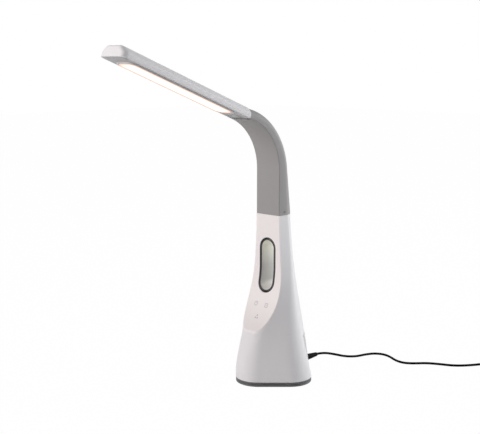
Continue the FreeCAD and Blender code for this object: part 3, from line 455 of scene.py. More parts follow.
def lace(shape: Shape, low: Sequence[bmesh.types.BMVert], high: Sequence[bmesh.types.BMVert],
         flip: bool = False, closed: bool = True, smooth: bool = True) -> None:
    """Fill the band between two rows of points with four-sided faces.

    Args:
        shape: The shape that gets the faces.
        low: The first row.
        high: The second row, with as many points.
        flip: Whether the faces look the other way.
        closed: Whether the rows are rings.
        smooth: Whether the faces are smooth-shaded.
    """
    count = len(low)
    for i in range(count if closed else count - 1):
        j = (i + 1) % count
        loop = (low[i], low[j], high[j], high[i])
        shape.faces.new(loop[::-1] if flip else loop).smooth = smooth


def skin(rings: Sequence[Sequence[Vector]], creases: Sequence[int] = ()) -> Shape:
    """A closed solid through rings of equally many points, flat at both ends.

    Args:
        rings: The rings in order, each anticlockwise as seen from the last one.
        creases: Columns along which the surface has a sharp edge.

    Returns:
        The new shape.
    """
    shape = bmesh.new()
    rows = [[shape.verts.new(point) for point in ring] for ring in rings]
    for low, high in zip(rows, rows[1:]):
        lace(shape, low, high)
    shape.faces.new(rows[0][::-1])
    shape.faces.new(rows[-1])
    for column in creases:
        for low, high in zip(rows, rows[1:]):
            shape.edges.get((low[column], high[column])).smooth = False
    bmesh.ops.remove_doubles(shape, verts=shape.verts, dist=MERGE)
    return shape


def as_mesh(shape: Shape, name: str, crease: float = CREASE) -> bpy.types.Mesh:
    """Turn a shape into a mesh, with sharp edges where it turns hard, and free the shape."""
    for edge in shape.edges:
        if len(edge.link_faces) == 2 and edge.calc_face_angle(0.0) > math.radians(crease):
            edge.smooth = False
    mesh = bpy.data.meshes.new(name)
    shape.to_mesh(mesh)
    shape.free()
    return mesh


def solid(name: str, shape: Shape) -> Object:
    """A new object from a shape, which is used up."""
    return new_object(name, as_mesh(shape, name))


def settled(obj: Object) -> None:
    """Give an object the mesh that it has with its modifiers, and take these away."""
    graph = bpy.context.evaluated_depsgraph_get()
    mesh = bpy.data.meshes.new_from_object(obj.evaluated_get(graph))
    obj.modifiers.clear()
    old = obj.data
    obj.data = mesh
    bpy.data.meshes.remove(old)
    mesh.name = obj.name


def carve(obj: Object, cutters: Sequence[Shape]) -> None:
    """Cut shapes out of an object, one after the other.

    Args:
        obj: The object that is cut.
        cutters: Closed shapes, which are used up.
    """
    for index, cutter in enumerate(cutters):
        tool = solid(f"{obj.name}_cut_{index}", cutter)
        cut = obj.modifiers.new("cut", "BOOLEAN")
        cut.operation = "DIFFERENCE"
        cut.solver = "EXACT"
        cut.object = tool
        settled(obj)
        discard(tool)
    shape = bmesh.new()
    shape.from_mesh(obj.data)
    bmesh.ops.dissolve_degenerate(shape, edges=shape.edges, dist=MERGE)
    for face in shape.faces:
        face.smooth = True
    old = obj.data
    obj.data = as_mesh(shape, obj.name)
    bpy.data.meshes.remove(old)


def prism(outline: Sequence[Vector], start: Vector, across: Vector, up: Vector, run: Vector) -> Shape:
    """A closed prism on an outline, which is drawn with two directions from a start.

    Args:
        outline: The outline's flat points, in order.
        start: Where the outline's zero lies.
        across: The outline's first direction.
        up: The outline's second direction.
        run: How far and which way the outline is drawn out.

    Returns:
        The new shape.
    """
    low = [start + across * p.x + up * p.y for p in outline]
    shape = skin((low, [point + run for point in low]))
    bmesh.ops.recalc_face_normals(shape, faces=shape.faces)
    return shape


@dataclass
class HeadFrame:
    """Where the lit head lies: its root on the neck's front face, and its own directions.

    Attributes:
        front: Distance of the neck's front face ahead of the foot's middle.
        top: Height of the tower.
        straight: Straight length of the neck.
        radius: Radius of the neck's bend on its front face.
        turn: How far the neck bends, in degrees.
    """

    front: float = 15.0 * MM
    top: float = 219.0 * MM
    straight: float = 58.0 * MM
    radius: float = 70.0 * MM
    turn: float = 69.3

    @property
    def angle(self) -> float:
        """The bend in radians."""
        return math.radians(self.turn)

    @property
    def along(self) -> Vector:
        """From the neck towards the head's tip."""
        return Vector((0.0, -math.sin(self.angle), math.cos(self.angle)))

    @property
    def up(self) -> Vector:
        """From the head's underside to its back."""
        return Vector((0.0, math.cos(self.angle), math.sin(self.angle)))

    @property
    def axis(self) -> Vector:
        """The middle of the bend."""
        return Vector((0.0, -self.front - self.radius, self.top + self.straight))

    @property
    def root(self) -> Vector:
        """Where the bend ends, on the underside."""
        return self.axis + self.up * self.radius

    @property
    def bend_end(self) -> float:
        """Length of the front face up to the end of the bend."""
        return self.straight + self.radius * self.angle

    def place(self, x: float, along: float, up: float) -> Vector:
        """A place given in the head's own directions."""
        return self.root + RIGHT * x + self.along * along + self.up * up

    def section(self, distance: float) -> Tuple[Vector, Vector]:
        """Where the neck's front face is, and which way is back, so far along it.

        Args:
            distance: Length along the front face, from the tower's top.

        Returns:
            The place on the front face, and the direction to the neck's back.
        """
        if distance <= self.straight:
            return Vector((0.0, -self.front, self.top + distance)), BACK
        if distance <= self.bend_end:
            turned = (distance - self.straight) / self.radius
            back = Vector((0.0, math.cos(turned), math.sin(turned)))
            return self.axis + back * self.radius, back
        return self.root + self.along * (distance - self.bend_end), self.up


@dataclass
class NeckSleeve:
    """The soft grey sleeve over the neck's chain of links."""

    path: HeadFrame
    width: float = 40.0 * MM
    root_depth: float = 30.5 * MM
    root_side: float = 16.0 * MM
    root_back_half: float = 13.0 * MM
    end_depth: float = 12.5 * MM
    end_side: float = 6.5 * MM
    end_back_half: float = 12.0 * MM
    edge_round: float = 1.0 * MM
    side_rounds: Tuple[float, float] = (7.0 * MM, 5.0 * MM)
    back_rounds: Tuple[float, float] = (9.0 * MM, 10.0 * MM)
    lead: float = 8.0 * MM
    wall: float = 1.8 * MM
    hinge_first: float = 29.0 * MM
    hinge_last_room: float = 10.5 * MM
    hinge_count: int = 4
    spine_offset: float = 6.5 * MM
    rigid_end: float = 3.2 * MM
    arc_steps: int = 6
    stations: int = 25

    def hinge(self, index: int) -> float:
        """Length along the front face of one hinge."""
        straight = self.path.straight
        spine_end = straight + (self.path.radius + self.spine_offset) * self.path.angle
        pitch = (spine_end - self.hinge_last_room - self.hinge_first) / (self.hinge_count - 1)
        along = self.hinge_first + pitch * index
        if along <= straight:
            return along
        return straight + (along - straight) * self.path.radius / (self.path.radius + self.spine_offset)

    def outline(self, distance: float, inset: float) -> List[Vector]:
        """The neck's outline across its run.

        Args:
            distance: Length along the front face.
            inset: How far inside the outer skin.

        Returns:
            Points in order round the neck.
        """
        share = distance / (self.path.bend_end + self.lead)
        depth = self.root_depth + share * (self.end_depth - self.root_depth)
        side = self.root_side + share * (self.end_side - self.root_side)
        half = self.root_back_half + share * (self.end_back_half - self.root_back_half)
        rounds = [self.edge_round]
        rounds.extend(a + share * (b - a) for a, b in (self.side_rounds, self.back_rounds))
        right = [Vector((self.width / 2, 0.0)), Vector((self.width / 2, side)), Vector((half, depth))]
        origin, back = self.path.section(distance)
        spots = rounded_outline(mirrored(right), rounds + rounds[::-1], inset, self.arc_steps)
        return [origin + RIGHT * p.x + back * p.y for p in spots]

    def band(self, index: int, limits: Sequence[float]) -> Object:
        """One length of the sleeve, which covers its own hinge.

        Args:
            index: Which hinge it covers.
            limits: Where the bands begin and end along the front face.

        Returns:
            The new piece.
        """
        start, end = limits[index], limits[index + 1]
        places = [start + (end - start) * step / (self.stations - 1) for step in range(self.stations)]
        shape = bmesh.new()
        outer, inner = [
            [[shape.verts.new(p) for p in self.outline(place, inset)] for place in places]
            for inset in (0.0, self.wall)
        ]
        for rings, flip in ((outer, False), (inner, True)):
            for low, high in zip(rings, rings[1:]):
                lace(shape, low, high, flip)
        for ring, flip in ((0, True), (-1, False)):
            lace(shape, outer[ring], inner[ring], flip, smooth=False)
        mesh = bpy.data.meshes.new(f"sleeve_band_{index + 1}")
        shape.to_mesh(mesh)
        shape.free()
        mesh.set_sharp_from_angle(angle=math.radians(SOFT_CREASE))
        obj = new_object(mesh.name, mesh)
        wear(obj, SOFT_GREY.material())
        hinge = self.hinge(index)
        reach = min(hinge - start, end - hinge) - self.rigid_end
        low_place, low_back = self.path.section(hinge - reach)
        high_place, high_back = self.path.section(hinge + reach)
        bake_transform(obj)
        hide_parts(f"neck_sleeve_{index + 1}")
        return obj

    def build(self, bodies: Sequence[str]) -> List[Object]:
        """All the bands, end to end."""
        hinges = [self.hinge(index) for index in range(len(bodies) - 1)]
        limits = [0.0]
        limits.extend((a + b) / 2 for a, b in zip(hinges, hinges[1:]))
        limits.append(self.path.bend_end + self.lead)
        return [self.band(index, limits) for index in range(len(hinges))]


@dataclass
class Tower:
    """The flared tower with its swept front panel and the air opening through both.

    The flare has a row for each of five levels, from the top down: the level's drop, the x and y of
    the three corners, and their three rounds, all as shares of the way from the top to the foot.
    """

    base: float = 7.5 * MM
    top: float = 219.0 * MM
    front_y: float = -15.0 * MM
    wall: float = 2.4 * MM
    roof: float = 3.0 * MM
    panel_thick: float = 1.8 * MM
    panel_gap: float = 0.1 * MM
    sweep_radius: float = 120.0 * MM
    sweep_start: float = 154.0 * MM
    sweep_turn: float = 60.0
    opening_middle: float = 153.0 * MM
    opening_half: Tuple[float, float] = (14.0 * MM, 36.0 * MM)
    opening_round: float = 0.9999
    tunnel_half: Tuple[float, float] = (12.1 * MM, 34.1 * MM)
    reach: float = 200.0 * MM
    jack_start: Point = (0.0, 45.0 * MM, 12.2 * MM)
    jack_radius: float = 4.1 * MM
    slot_middle: Tuple[float, float] = (26.0 * MM, 40.0 * MM)
    slot_half: float = 13.0 * MM
    slot_height: float = 2.2 * MM
    slot_round: float = 1.05 * MM
    slot_first: float = 24.0 * MM
    slot_pitch: float = 5.0 * MM
    slot_count: int = 7
    cut_run: float = 100.0 * MM
    edge_round: float = 0.8 * MM
    top_corners: Tuple[Tuple[float, float], ...] = ((0.02, -0.023), (0.02, 0.001), (0.013, 0.0155))
    top_rounds: Tuple[float, ...] = (0.002, 0.007, 0.009)
    foot_corners: Tuple[Tuple[float, float], ...] = ((0.0124, -0.061), (0.0701, -0.0033), (0.0058, 0.061))
    foot_rounds: Tuple[float, ...] = (0.028, 0.030, 0.0135)
    flare: Tuple[Tuple[float, ...], ...] = (
        (0.0, 0.0, 0.0, 0.0, 0.0, 0.0, 0.0, 0.0, 0.0, 0.0),
        (0.284, -0.13, 0.105, 0.10, -0.70, 0.0, 0.13, 0.08, 0.13, 0.44),
        (0.52, 0.13, 0.395, 0.32, 0.47, 0.0, 0.363, 0.31, 0.35, 1.33),
        (0.756, 1.0, 0.726, 0.64, 1.86, 0.28, 0.67, 0.77, 0.65, 2.0),
        (1.0, 1.0, 1.0, 1.0, 1.0, 1.0, 1.0, 1.0, 1.0, 1.0),
    )
    side_points: int = 72
    front_points: int = 22
    rim_points: int = 6
    low_rows: int = 26
    high_rows: int = 64
    tip_rows: int = 10
    edge_steps: int = 5
    plan_steps: int = 16
    opening_steps: int = 24
    slot_steps: int = 8
    jack_sides: int = 48
    halvings: int = 50

    def half(self, z: float, inset: float = 0.0) -> List[Vector]:
        """The right half of the tower's plan at a height, from the front's middle to the back's.

        Args:
            z: The height.
            inset: How far inside the outer skin.

        Returns:
            Points in order.
        """
        drop = min((self.top - z) / (self.top - self.base), 1.0)
        knots = [row[0] for row in self.flare]
        shares = []
        for column in range(1, len(self.flare[0])):
            total = 0.0
            for i, here in enumerate(knots):
                weight = 1.0
                for j, other in enumerate(knots):
                    weight *= (drop - other) / (here - other) if i != j else 1.0
                total += weight * self.flare[i][column]
            shares.append(total)
        right, rounds = [], []
        for index, (high, low) in enumerate(zip(self.top_corners, self.foot_corners)):
            right.append(Vector((high[0] + shares[2 * index] * (low[0] - high[0]),
                                 high[1] + shares[2 * index + 1] * (low[1] - high[1]))))
            full, grown = self.top_rounds[index], self.foot_rounds[index]
            rounds.append(full + shares[2 * len(self.top_corners) + index] * (grown - full))
        outline = rounded_outline(mirrored(right), rounds + rounds[::-1], inset, self.plan_steps)
        half = outline[:len(outline) // 2]
        return [Vector((0.0, half[0].y))] + half + [Vector((0.0, half[-1].y))]

    def front(self, z: float, depth: float) -> float:
        """Where the swept front lies at a height, so far behind its face."""
        radius = self.sweep_radius + depth
        axis = self.front_y - self.sweep_radius
        lowest = radius * math.sin(math.radians(self.sweep_turn))
        drop = min(max(self.sweep_start - z, 0.0), lowest)
        return axis + math.sqrt(radius * radius - drop * drop)

    def lowest(self, depth: float) -> float:
        """The height at which the swept front runs out of the tower."""
        low, high = self.base, self.sweep_start
        for _ in range(self.halvings):
            middle = (low + high) / 2
            if self.front(middle, depth) > self.half(middle)[0].y:
                high = middle
            else:
                low = middle
        return high

    def clipped(self, path: List[Vector], y: float) -> List[Vector]:
        """The part of a half plan that lies behind a distance."""
        for index, (a, b) in enumerate(zip(path, path[1:])):
            if a.y < y <= b.y:
                return [a.lerp(b, (y - a.y) / (b.y - a.y))] + path[index + 1:]
        return path

    def upper_levels(self, first: float) -> List[float]:
        """Levels from a first one to the top, close together at the first."""
        rows = self.high_rows
        return [first + (self.top - first) * (i / rows) ** 2 for i in range(rows + 1)]

    def heights(self, depth: float) -> List[float]:
        """Levels from the base to the top, close together where the swept front begins."""
        first = self.lowest(depth)
        levels = [self.base + (first - self.base) * i / self.low_rows for i in range(self.low_rows)]
        return levels + self.upper_levels(first)

    def panel_levels(self) -> List[float]:
        """Levels of the front panel, close together at its round lower end."""
        first, second = self.lowest(self.panel_thick), self.lowest(0.0)
        levels = [first + (second - first) * (i / self.tip_rows) ** 2 for i in range(self.tip_rows)]
        return levels + self.upper_levels(second)

    def softened(self, z: float) -> float:
        """How far the skin draws in at its rounded lower and upper edges."""
        near = min(z - self.base, self.top - z)
        return drawn_in(self.edge_round - near, self.edge_round)

    def edge_levels(self) -> List[float]:
        """Distances from an edge, a few of them inside its round."""
        angles = [math.pi / 2 * i / self.edge_steps for i in range(self.edge_steps + 1)]
        return [self.edge_round * (1.0 - math.cos(angle)) for angle in angles]

    def soft_levels(self, low: List[float], inner: List[float]) -> List[float]:
        """The low levels, the inner ones above them, and those of the rounded upper edge."""
        high = [self.top - step for step in reversed(self.edge_levels())]
        return low + [z for z in inner if low[-1] < z < high[0]] + high

    def front_shares(self) -> List[float]:
        """Steps across the front between its left edge, at -1, and its right one, at 1."""
        return [2 * i / (self.front_points + 1) - 1 for i in range(1, self.front_points + 1)]

    def ring(self, z: float, depth: float, inset: float) -> List[Vector]:
        """One level of the tower: its sides and back, and the swept front between them."""
        cut = self.front(z, depth)
        right = spaced(self.clipped(self.half(z, inset), cut), self.side_points)
        edge = right[0]
        front = [Vector((edge.x * share, edge.y)) for share in self.front_shares()]
        return lifted(right + flipped(right[:-1]) + front, z)

    def stadium(self, half: Tuple[float, float], start: float, end: float) -> Shape:
        """A round-ended prism along Y at the air opening."""
        wide, tall = half
        corners = rectangle(wide, -tall, tall)
        outline = rounded_outline(corners, [wide * self.opening_round] * 4, 0.0, self.opening_steps)
        return prism(outline, Vector((0.0, start, self.opening_middle)), RIGHT, UP, BACK * (end - start))

    def slots(self) -> List[Shape]:
        """The round-ended air slots of both rear faces."""
        x, y = self.slot_middle
        corner_x, corner_y = self.foot_corners[1]
        turn = math.atan2(y - corner_y, corner_x - x)
        corners = rectangle(self.slot_half, 0.0, self.slot_height)
        right = rounded_outline(corners, [self.slot_round] * 4, 0.0, self.slot_steps)
        shapes = []
        for side, outline in ((1.0, right), (-1.0, flipped(right))):
            across = Vector((math.cos(turn), -math.sin(turn) * side, 0.0))
            into = Vector((math.sin(turn) * side, math.cos(turn), 0.0))
            for index in range(self.slot_count):
                start = Vector((x * side / 2, y / 2, self.slot_first + self.slot_pitch * index))
                shapes.append(prism(outline, start, across, UP, into * self.cut_run))
        return shapes

    def shell(self) -> Object:
        """The white shell, hollow and open below, with its opening, slots and jack hole."""
        depth = self.panel_thick + self.panel_gap
        low = [self.base + step for step in self.edge_levels()]
        levels = self.soft_levels(low, self.heights(depth))
        rings = [self.ring(z, depth + self.softened(z), self.softened(z)) for z in levels]
        edges = (0, 2 * self.side_points - 2)
        obj = solid("tower", skin(rings, edges))
        inner_depth = depth + self.wall
        ceiling = self.top - self.roof
        levels = [z for z in self.heights(inner_depth) if z < ceiling] + [ceiling]
        room = [self.ring(z, inner_depth, self.wall) for z in levels]
        room.insert(0, lifted(room[0], 0.0))
        jack = prism(circle(self.jack_radius, self.jack_sides), Vector(self.jack_start),
                     RIGHT, UP, BACK * self.cut_run)
        carve(obj, [
            skin(room, edges), self.stadium(self.opening_half, -self.reach, 0.0),
            self.stadium(self.tunnel_half, 0.0, self.reach), jack, *self.slots(),
        ])
        return obj

    def panel(self) -> Object:
        """The front panel, thin and swept, whose rim follows the tower's skin."""
        rings = []
        shares = self.front_shares()
        for z in self.soft_levels([self.lowest(self.panel_thick)], self.panel_levels()):
            path = self.half(z, self.softened(z))
            outer = self.clipped(path, self.front(z, self.softened(z)))
            inner = self.clipped(path, self.front(z, self.panel_thick))
            rim = spaced(outer[:len(outer) - len(inner) + 1] + inner[:1], self.rim_points)
            face, back = rim[0], rim[-1]
            loop = rim + [Vector((-back.x * share, back.y)) for share in shares]
            loop += flipped(rim) + [Vector((face.x * share, face.y)) for share in shares]
            rings.append(lifted(loop, z))
        last = len(rings[0]) - self.front_points - 1
        obj = solid("front_face", skin(rings, (0, last)))
        carve(obj, [self.stadium(self.opening_half, -self.reach, self.reach)])
        return obj

    def build(self) -> None:
        """Shell and panel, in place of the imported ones."""
        for obj, finish, slot, node in (
            (self.shell(), WHITE_SHELL, "white_shell", "tower_shell"),
            (self.panel(), FRONT_GLOSS, "front_gloss", "front_panel"),
        ):
            stand_in(obj, finish, "base", slot, node)
            LOG.info("%s: %d faces", obj.name, len(obj.data.polygons))


@dataclass
class HeadShell:
    """The white back of the head, a channel that is open below."""

    path: HeadFrame
    start: float = 8.0 * MM
    length: float = 217.4 * MM
    root_half: float = 20.0 * MM
    tip_half: float = 22.0 * MM
    depth: float = 12.5 * MM
    side: float = 6.5 * MM
    back_inset: float = 8.0 * MM
    rounds: Tuple[float, ...] = (1.0 * MM, 5.0 * MM, 10.0 * MM)
    wall: float = 1.6 * MM
    corner_round: float = 7.0 * MM
    nose_round: float = 2.6 * MM
    crown: float = 1.3 * MM
    straight_rows: int = 40
    tip_rows: int = 18
    arc_steps: int = 10

    def reaches(self) -> List[float]:
        """Distances along the head, close together at its rounded tip."""
        bend = self.length - self.corner_round
        rows = [self.start + (bend - self.start) * i / self.straight_rows for i in range(self.straight_rows)]
        for i in range(self.tip_rows + 1):
            rows.append(bend + self.corner_round * math.sin(math.pi / 2 * i / self.tip_rows))
        return rows

    def section(self, along: float, inset: float) -> List[Vector]:
        """Half width and height of the head at a distance, as points over its back.

        Args:
            along: Distance from the bend's end.
            inset: How far inside the outer skin.

        Returns:
            Points from the right edge over the back to the left edge.
        """
        share = (along - self.start) / (self.length - self.start)
        half = self.root_half + share * (self.tip_half - self.root_half)
        narrow = drawn_in(along - self.length + self.corner_round, self.corner_round)
        lower = drawn_in(along - self.length + self.nose_round, self.nose_round)
        right = [Vector((half, 0.0)), Vector((half, self.side)), Vector((half - self.back_inset, self.depth))]
        outline = rounded_outline(mirrored(right), self.rounds + self.rounds[::-1], inset, self.arc_steps)
        wide, tall = (half - narrow) / half, (self.depth - lower) / self.depth
        if inset > 0.0:
            arc = self.arc_steps + 1
            inner = outline[arc:-arc]
            outline = [Vector((inner[0].x, 0.0))] + inner + [Vector((inner[-1].x, 0.0))]
        rise = self.crown / self.depth
        return [Vector((p.x * wide, p.y * tall * (1.0 + rise * (1.0 - (p.x / half) ** 2)))) for p in outline]

    def build(self) -> Object:
        """The shell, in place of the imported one."""
        shape = bmesh.new()
        skins = []
        run = self.length - self.start
        for inset in (0.0, self.wall):
            rows = []
            for along in self.reaches():
                at = self.start + (along - self.start) * (run - inset) / run
                places = [self.path.place(p.x, at, p.y) for p in self.section(along, inset)]
                rows.append([shape.verts.new(place) for place in places])
            skins.append(rows)
        outer, inner = skins
        for rows, flip in ((outer, False), (inner, True)):
            for low, high in zip(rows, rows[1:]):
                lace(shape, low, high, flip, closed=False)
        shape.faces.new(outer[-1])
        shape.faces.new(inner[-1][::-1])
        for edge, flip in ((0, False), (-1, True)):
            rims = [[row[edge] for row in rows] for rows in skins]
            lace(shape, *rims, flip, closed=False, smooth=False)
        shape.faces.new((outer[-1][0], outer[-1][-1], inner[-1][-1], inner[-1][0]))
        shape.faces.new(outer[0][::-1] + inner[0])
        bmesh.ops.recalc_face_normals(shape, faces=shape.faces)
        obj = solid("head_back", shape)
        stand_in(obj, WHITE_SHELL, "head", "white_shell", "head_shell")
        return obj


@dataclass
class LitWindow:
    """The glowing window under the head, white with a warm rim."""

    path: HeadFrame
    half_width: float = 14.2 * MM
    start: float = 31.0 * MM
    end: float = 198.0 * MM
    corner: float = 10.0 * MM
    rim: float = 5.6 * MM
    rim_bend: float = 0.6
    frame_edge: float = 0.25 * MM
    frame_colour: Colour = (0.60, 0.58, 0.58)
    middle_colour: Colour = (1.0, 0.95, 0.90)
    rim_colour: Colour = (0.76, 0.31, 0.15)
    glass_colour: Colour = (0.24, 0.22, 0.20)
    roughness: float = 0.4
    strength: float = 1.15

    def material(self) -> Material:
        """The window's glow, which reads where it is on the window."""
        material = blank_material("lit_window", casts_light=False)
        tree = material.node_tree
        place = add_node(tree, "ShaderNodeTexCoord").outputs["Object"]
        across = add_node(tree, "ShaderNodeSeparateXYZ", {0: place}).outputs[0]
        reach = add_node(tree, "ShaderNodeVectorMath", {0: place, 1: self.path.along},
                         operation="DOT_PRODUCT")
        middle = self.path.root.dot(self.path.along) + (self.start + self.end) / 2
        away = maths(tree, "ABSOLUTE", maths(tree, "SUBTRACT", reach.outputs["Value"], middle))
        past_end = maths(tree, "SUBTRACT", away, (self.end - self.start) / 2 - self.corner)
        past_side = maths(tree, "SUBTRACT", maths(tree, "ABSOLUTE", across), self.half_width - self.corner)
        squares = [maths(tree, "POWER", maths(tree, "MAXIMUM", past, 0.0), 2.0)
                   for past in (past_end, past_side)]
        outside = maths(tree, "SQRT", maths(tree, "ADD", *squares))
        inside = maths(tree, "MINIMUM", maths(tree, "MAXIMUM", past_end, past_side), 0.0)
        near = maths(tree, "SUBTRACT", self.corner, maths(tree, "ADD", outside, inside))
        share = maths(tree, "SUBTRACT", 1.0, maths(tree, "DIVIDE", near, self.rim), clamp=True)
        warmth = maths(tree, "POWER", share, self.rim_bend)
        lit = maths(tree, "DIVIDE", near, self.frame_edge, clamp=True)
        principled(tree, {
            "Roughness": self.roughness,
            "Base Color": mixed(tree, lit, self.frame_colour, self.glass_colour),
            "Emission Color": mixed(tree, warmth, self.middle_colour, self.rim_colour),
            "Emission Strength": maths(tree, "MULTIPLY", lit, self.strength),
        })
        return material


@dataclass
class AirWay:
    """The air opening's inner wall, with painted light and shade: a painted shadow of the air slot at its
    front mouth, painted light that makes its floor pale and a warm painted highlight at its top.
    """

    wall_colour: Colour = (0.62, 0.62, 0.60)
    # Painted light: a pale colour where light falls on the opening's floor, and a warm painted highlight at
    # its top.
    floor_colour: Colour = (0.97, 0.93, 0.89)
    top_light_colour: Colour = (0.98, 0.97, 0.86)
    # Near-black of the painted shadow of the air slot, just behind the mouth.
    slot_shadow_colour: Colour = (0.012, 0.012, 0.013)
    floor_light_low: float = 122.0 * MM
    floor_light_high: float = 132.0 * MM
    top_light_low: float = 150.0 * MM
    top_light_high: float = 186.0 * MM
    slot_shadow_depth: float = 0.5 * MM
    slot_shadow_edge: float = 0.2 * MM
    tone: float = 0.04
    roughness: float = 0.4
    roughness_drift: float = 0.1

    def material(self, tower: Tower) -> Material:
        """The wall's colour with its painted light and shade, which reads height and depth.

        Args:
            tower: The tower whose front the mouth follows.

        Returns:
            The new material.
        """
        material = blank_material("air_way_finish")
        tree = material.node_tree
        place = add_node(tree, "ShaderNodeTexCoord").outputs["Object"]
        _, y, z = add_node(tree, "ShaderNodeSeparateXYZ", {0: place}).outputs
        # Painted light: pale floor low down, the wall colour above it, then the warm painted highlight
        # towards the top.
        above = ramp(tree, z, self.floor_light_low, self.floor_light_high)
        lower = mixed(tree, above, self.floor_colour, self.wall_colour)
        wall = mixed(tree, ramp(tree, z, self.top_light_low, self.top_light_high), lower, self.top_light_colour)
        # Painted shadow of the air slot: the wall turns near-black in a thin band just behind the swept
        # front.
        drop = maths(tree, "MAXIMUM", maths(tree, "SUBTRACT", tower.sweep_start, z), 0.0)
        bow = maths(tree, "DIVIDE", maths(tree, "POWER", drop, 2.0), 2.0 * tower.sweep_radius)
        mouth = tower.front_y + self.slot_shadow_depth
        behind = maths(tree, "SUBTRACT", maths(tree, "ADD", y, bow), mouth)
        clear = maths(tree, "DIVIDE", behind, self.slot_shadow_edge, clamp=True)
        grain = add_node(tree, "ShaderNodeGroup", {
            "Colour": mixed(tree, clear, self.slot_shadow_colour, wall), "Tone": self.tone,
            "Roughness": self.roughness, "Roughness drift": self.roughness_drift,
        }, node_tree=grain_group()).outputs
        principled(tree, {"Base Color": grain["Colour"], "Roughness": grain["Roughness"]})
        return material


@dataclass
class ScrewSet:
    """Like screws with crossed slots, set wherever they are given.

    Attributes:
        name: What the new piece is called.
        body: The body that it rides on.
        node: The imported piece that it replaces.
        places: Where the heads' under faces lie.
        aims: Which way the heads face.
        radius: Radius of a head.
        height: Height of a head.
        shank: Radius of the threaded part.
        length: Length of the threaded part, from under the head.
        finish: The screws' finish.
        tip: Radius and beginning of the shank's tapered tip, as shares.
        crown_start: Where a head's round begins, as a share of its height.
        crown_radii: Radius inside a head's round and of its flat top, as shares.
        crown_steps: Steps along a head's round.
        slot: Half length, half width and floor of the crossed slots, as shares of the head.
        sides: Sides of the turned form.
    """

    name: str
    body: str
    node: str
    places: Sequence[Vector]
    aims: Sequence[Vector]
    radius: float
    height: float
    shank: float
    length: float
    finish: Finish
    tip: Tuple[float, float] = (0.7, 0.94)
    crown_start: float = 0.55
    crown_radii: Tuple[float, float] = (0.82, 0.8)
    crown_steps: int = 5
    slot: Tuple[float, float, float] = (0.62, 0.14, 0.35)
    sides: int = 40

    def profile(self) -> List[Tuple[float, float]]:
        """Radius and height of the turned form, from the shank's end to the crown."""
        end, taper = self.tip
        core, flat = self.crown_radii
        turns = [(self.shank * end, -self.length), (self.shank, -self.length * taper), (self.shank, 0.0),
                 (self.radius, 0.0), (self.radius, self.height * self.crown_start)]
        for step in range(1, self.crown_steps):
            angle = math.pi / 2 * step / self.crown_steps
            turns.append((self.radius * (core + (1.0 - core) * math.cos(angle)),
                          self.height * (self.crown_start + (1.0 - self.crown_start) * math.sin(angle))))
        turns.append((self.radius * flat, self.height))
        return turns

    def pattern(self) -> Object:
        """One screw that stands upright, with a crossed slot in its head."""
        rings = [lifted(circle(radius, self.sides), height) for radius, height in self.profile()]
        obj = solid(f"{self.name}_pattern", skin(rings))
        long, thin, floor = self.slot
        carve(obj, [
            prism(rectangle(self.radius * x, -self.radius * y, self.radius * y),
                  UP * (self.height * floor), RIGHT, BACK, UP * self.height)
            for x, y in ((long, thin), (thin, long))
        ])
        return obj

    def spread(self) -> Tree:
        """The node tree that puts one pattern on every point and turns it to its aim."""
        label = "screw_spread"
        if label in bpy.data.node_groups:
            return bpy.data.node_groups[label]
        tree = bpy.data.node_groups.new(label, "GeometryNodeTree")
        add_ports(tree, "INPUT", {"Geometry": "Geometry", "Pattern": "Object", "Finish": "Material"})
        add_ports(tree, "OUTPUT", {"Geometry": "Geometry"})
        entry = add_node(tree, "NodeGroupInput").outputs
        aim = add_node(tree, "GeometryNodeInputNamedAttribute", {"Name": "aim"}, data_type="FLOAT_VECTOR")
        turn = add_node(tree, "FunctionNodeAlignRotationToVector",
                        {"Vector": aim.outputs["Attribute"]}, axis="Z")
        info = add_node(tree, "GeometryNodeObjectInfo", {"Object": entry["Pattern"]})
        set_on = add_node(tree, "GeometryNodeInstanceOnPoints", {
            "Points": entry["Geometry"], "Instance": info.outputs["Geometry"], "Rotation": turn.outputs[0],
        })
        real = add_node(tree, "GeometryNodeRealizeInstances", {0: set_on.outputs[0]})
        coat = add_node(tree, "GeometryNodeSetMaterial",
                        {"Geometry": real.outputs[0], "Material": entry["Finish"]})
        add_node(tree, "NodeGroupOutput", {"Geometry": coat.outputs[0]})
        return tree

    def build(self) -> Object:
        """The screws as one plain mesh."""
        mesh = bpy.data.meshes.new(self.name)
        mesh.from_pydata([tuple(p) for p in self.places], [], [])
        aims = mesh.attributes.new("aim", "FLOAT_VECTOR", "POINT")
        for index, aim in enumerate(self.aims):
            aims.data[index].vector = aim
        obj = new_object(self.name, mesh)
        pattern = self.pattern()
        tree = self.spread()
        nodes = obj.modifiers.new("spread", "NODES")
        nodes.node_group = tree
        values = {"Pattern": pattern, "Finish": self.finish.material()}
        for item in tree.interface.items_tree:
            if item.in_out == "INPUT" and item.name in values:
                nodes[item.identifier] = values[item.name]
        bpy.context.view_layer.update()
        settled(obj)
        discard(pattern)
        stand_in(obj, self.finish, self.body, "steel", self.node)
        LOG.info("%s: %d screws", self.name, len(self.places))
        return obj


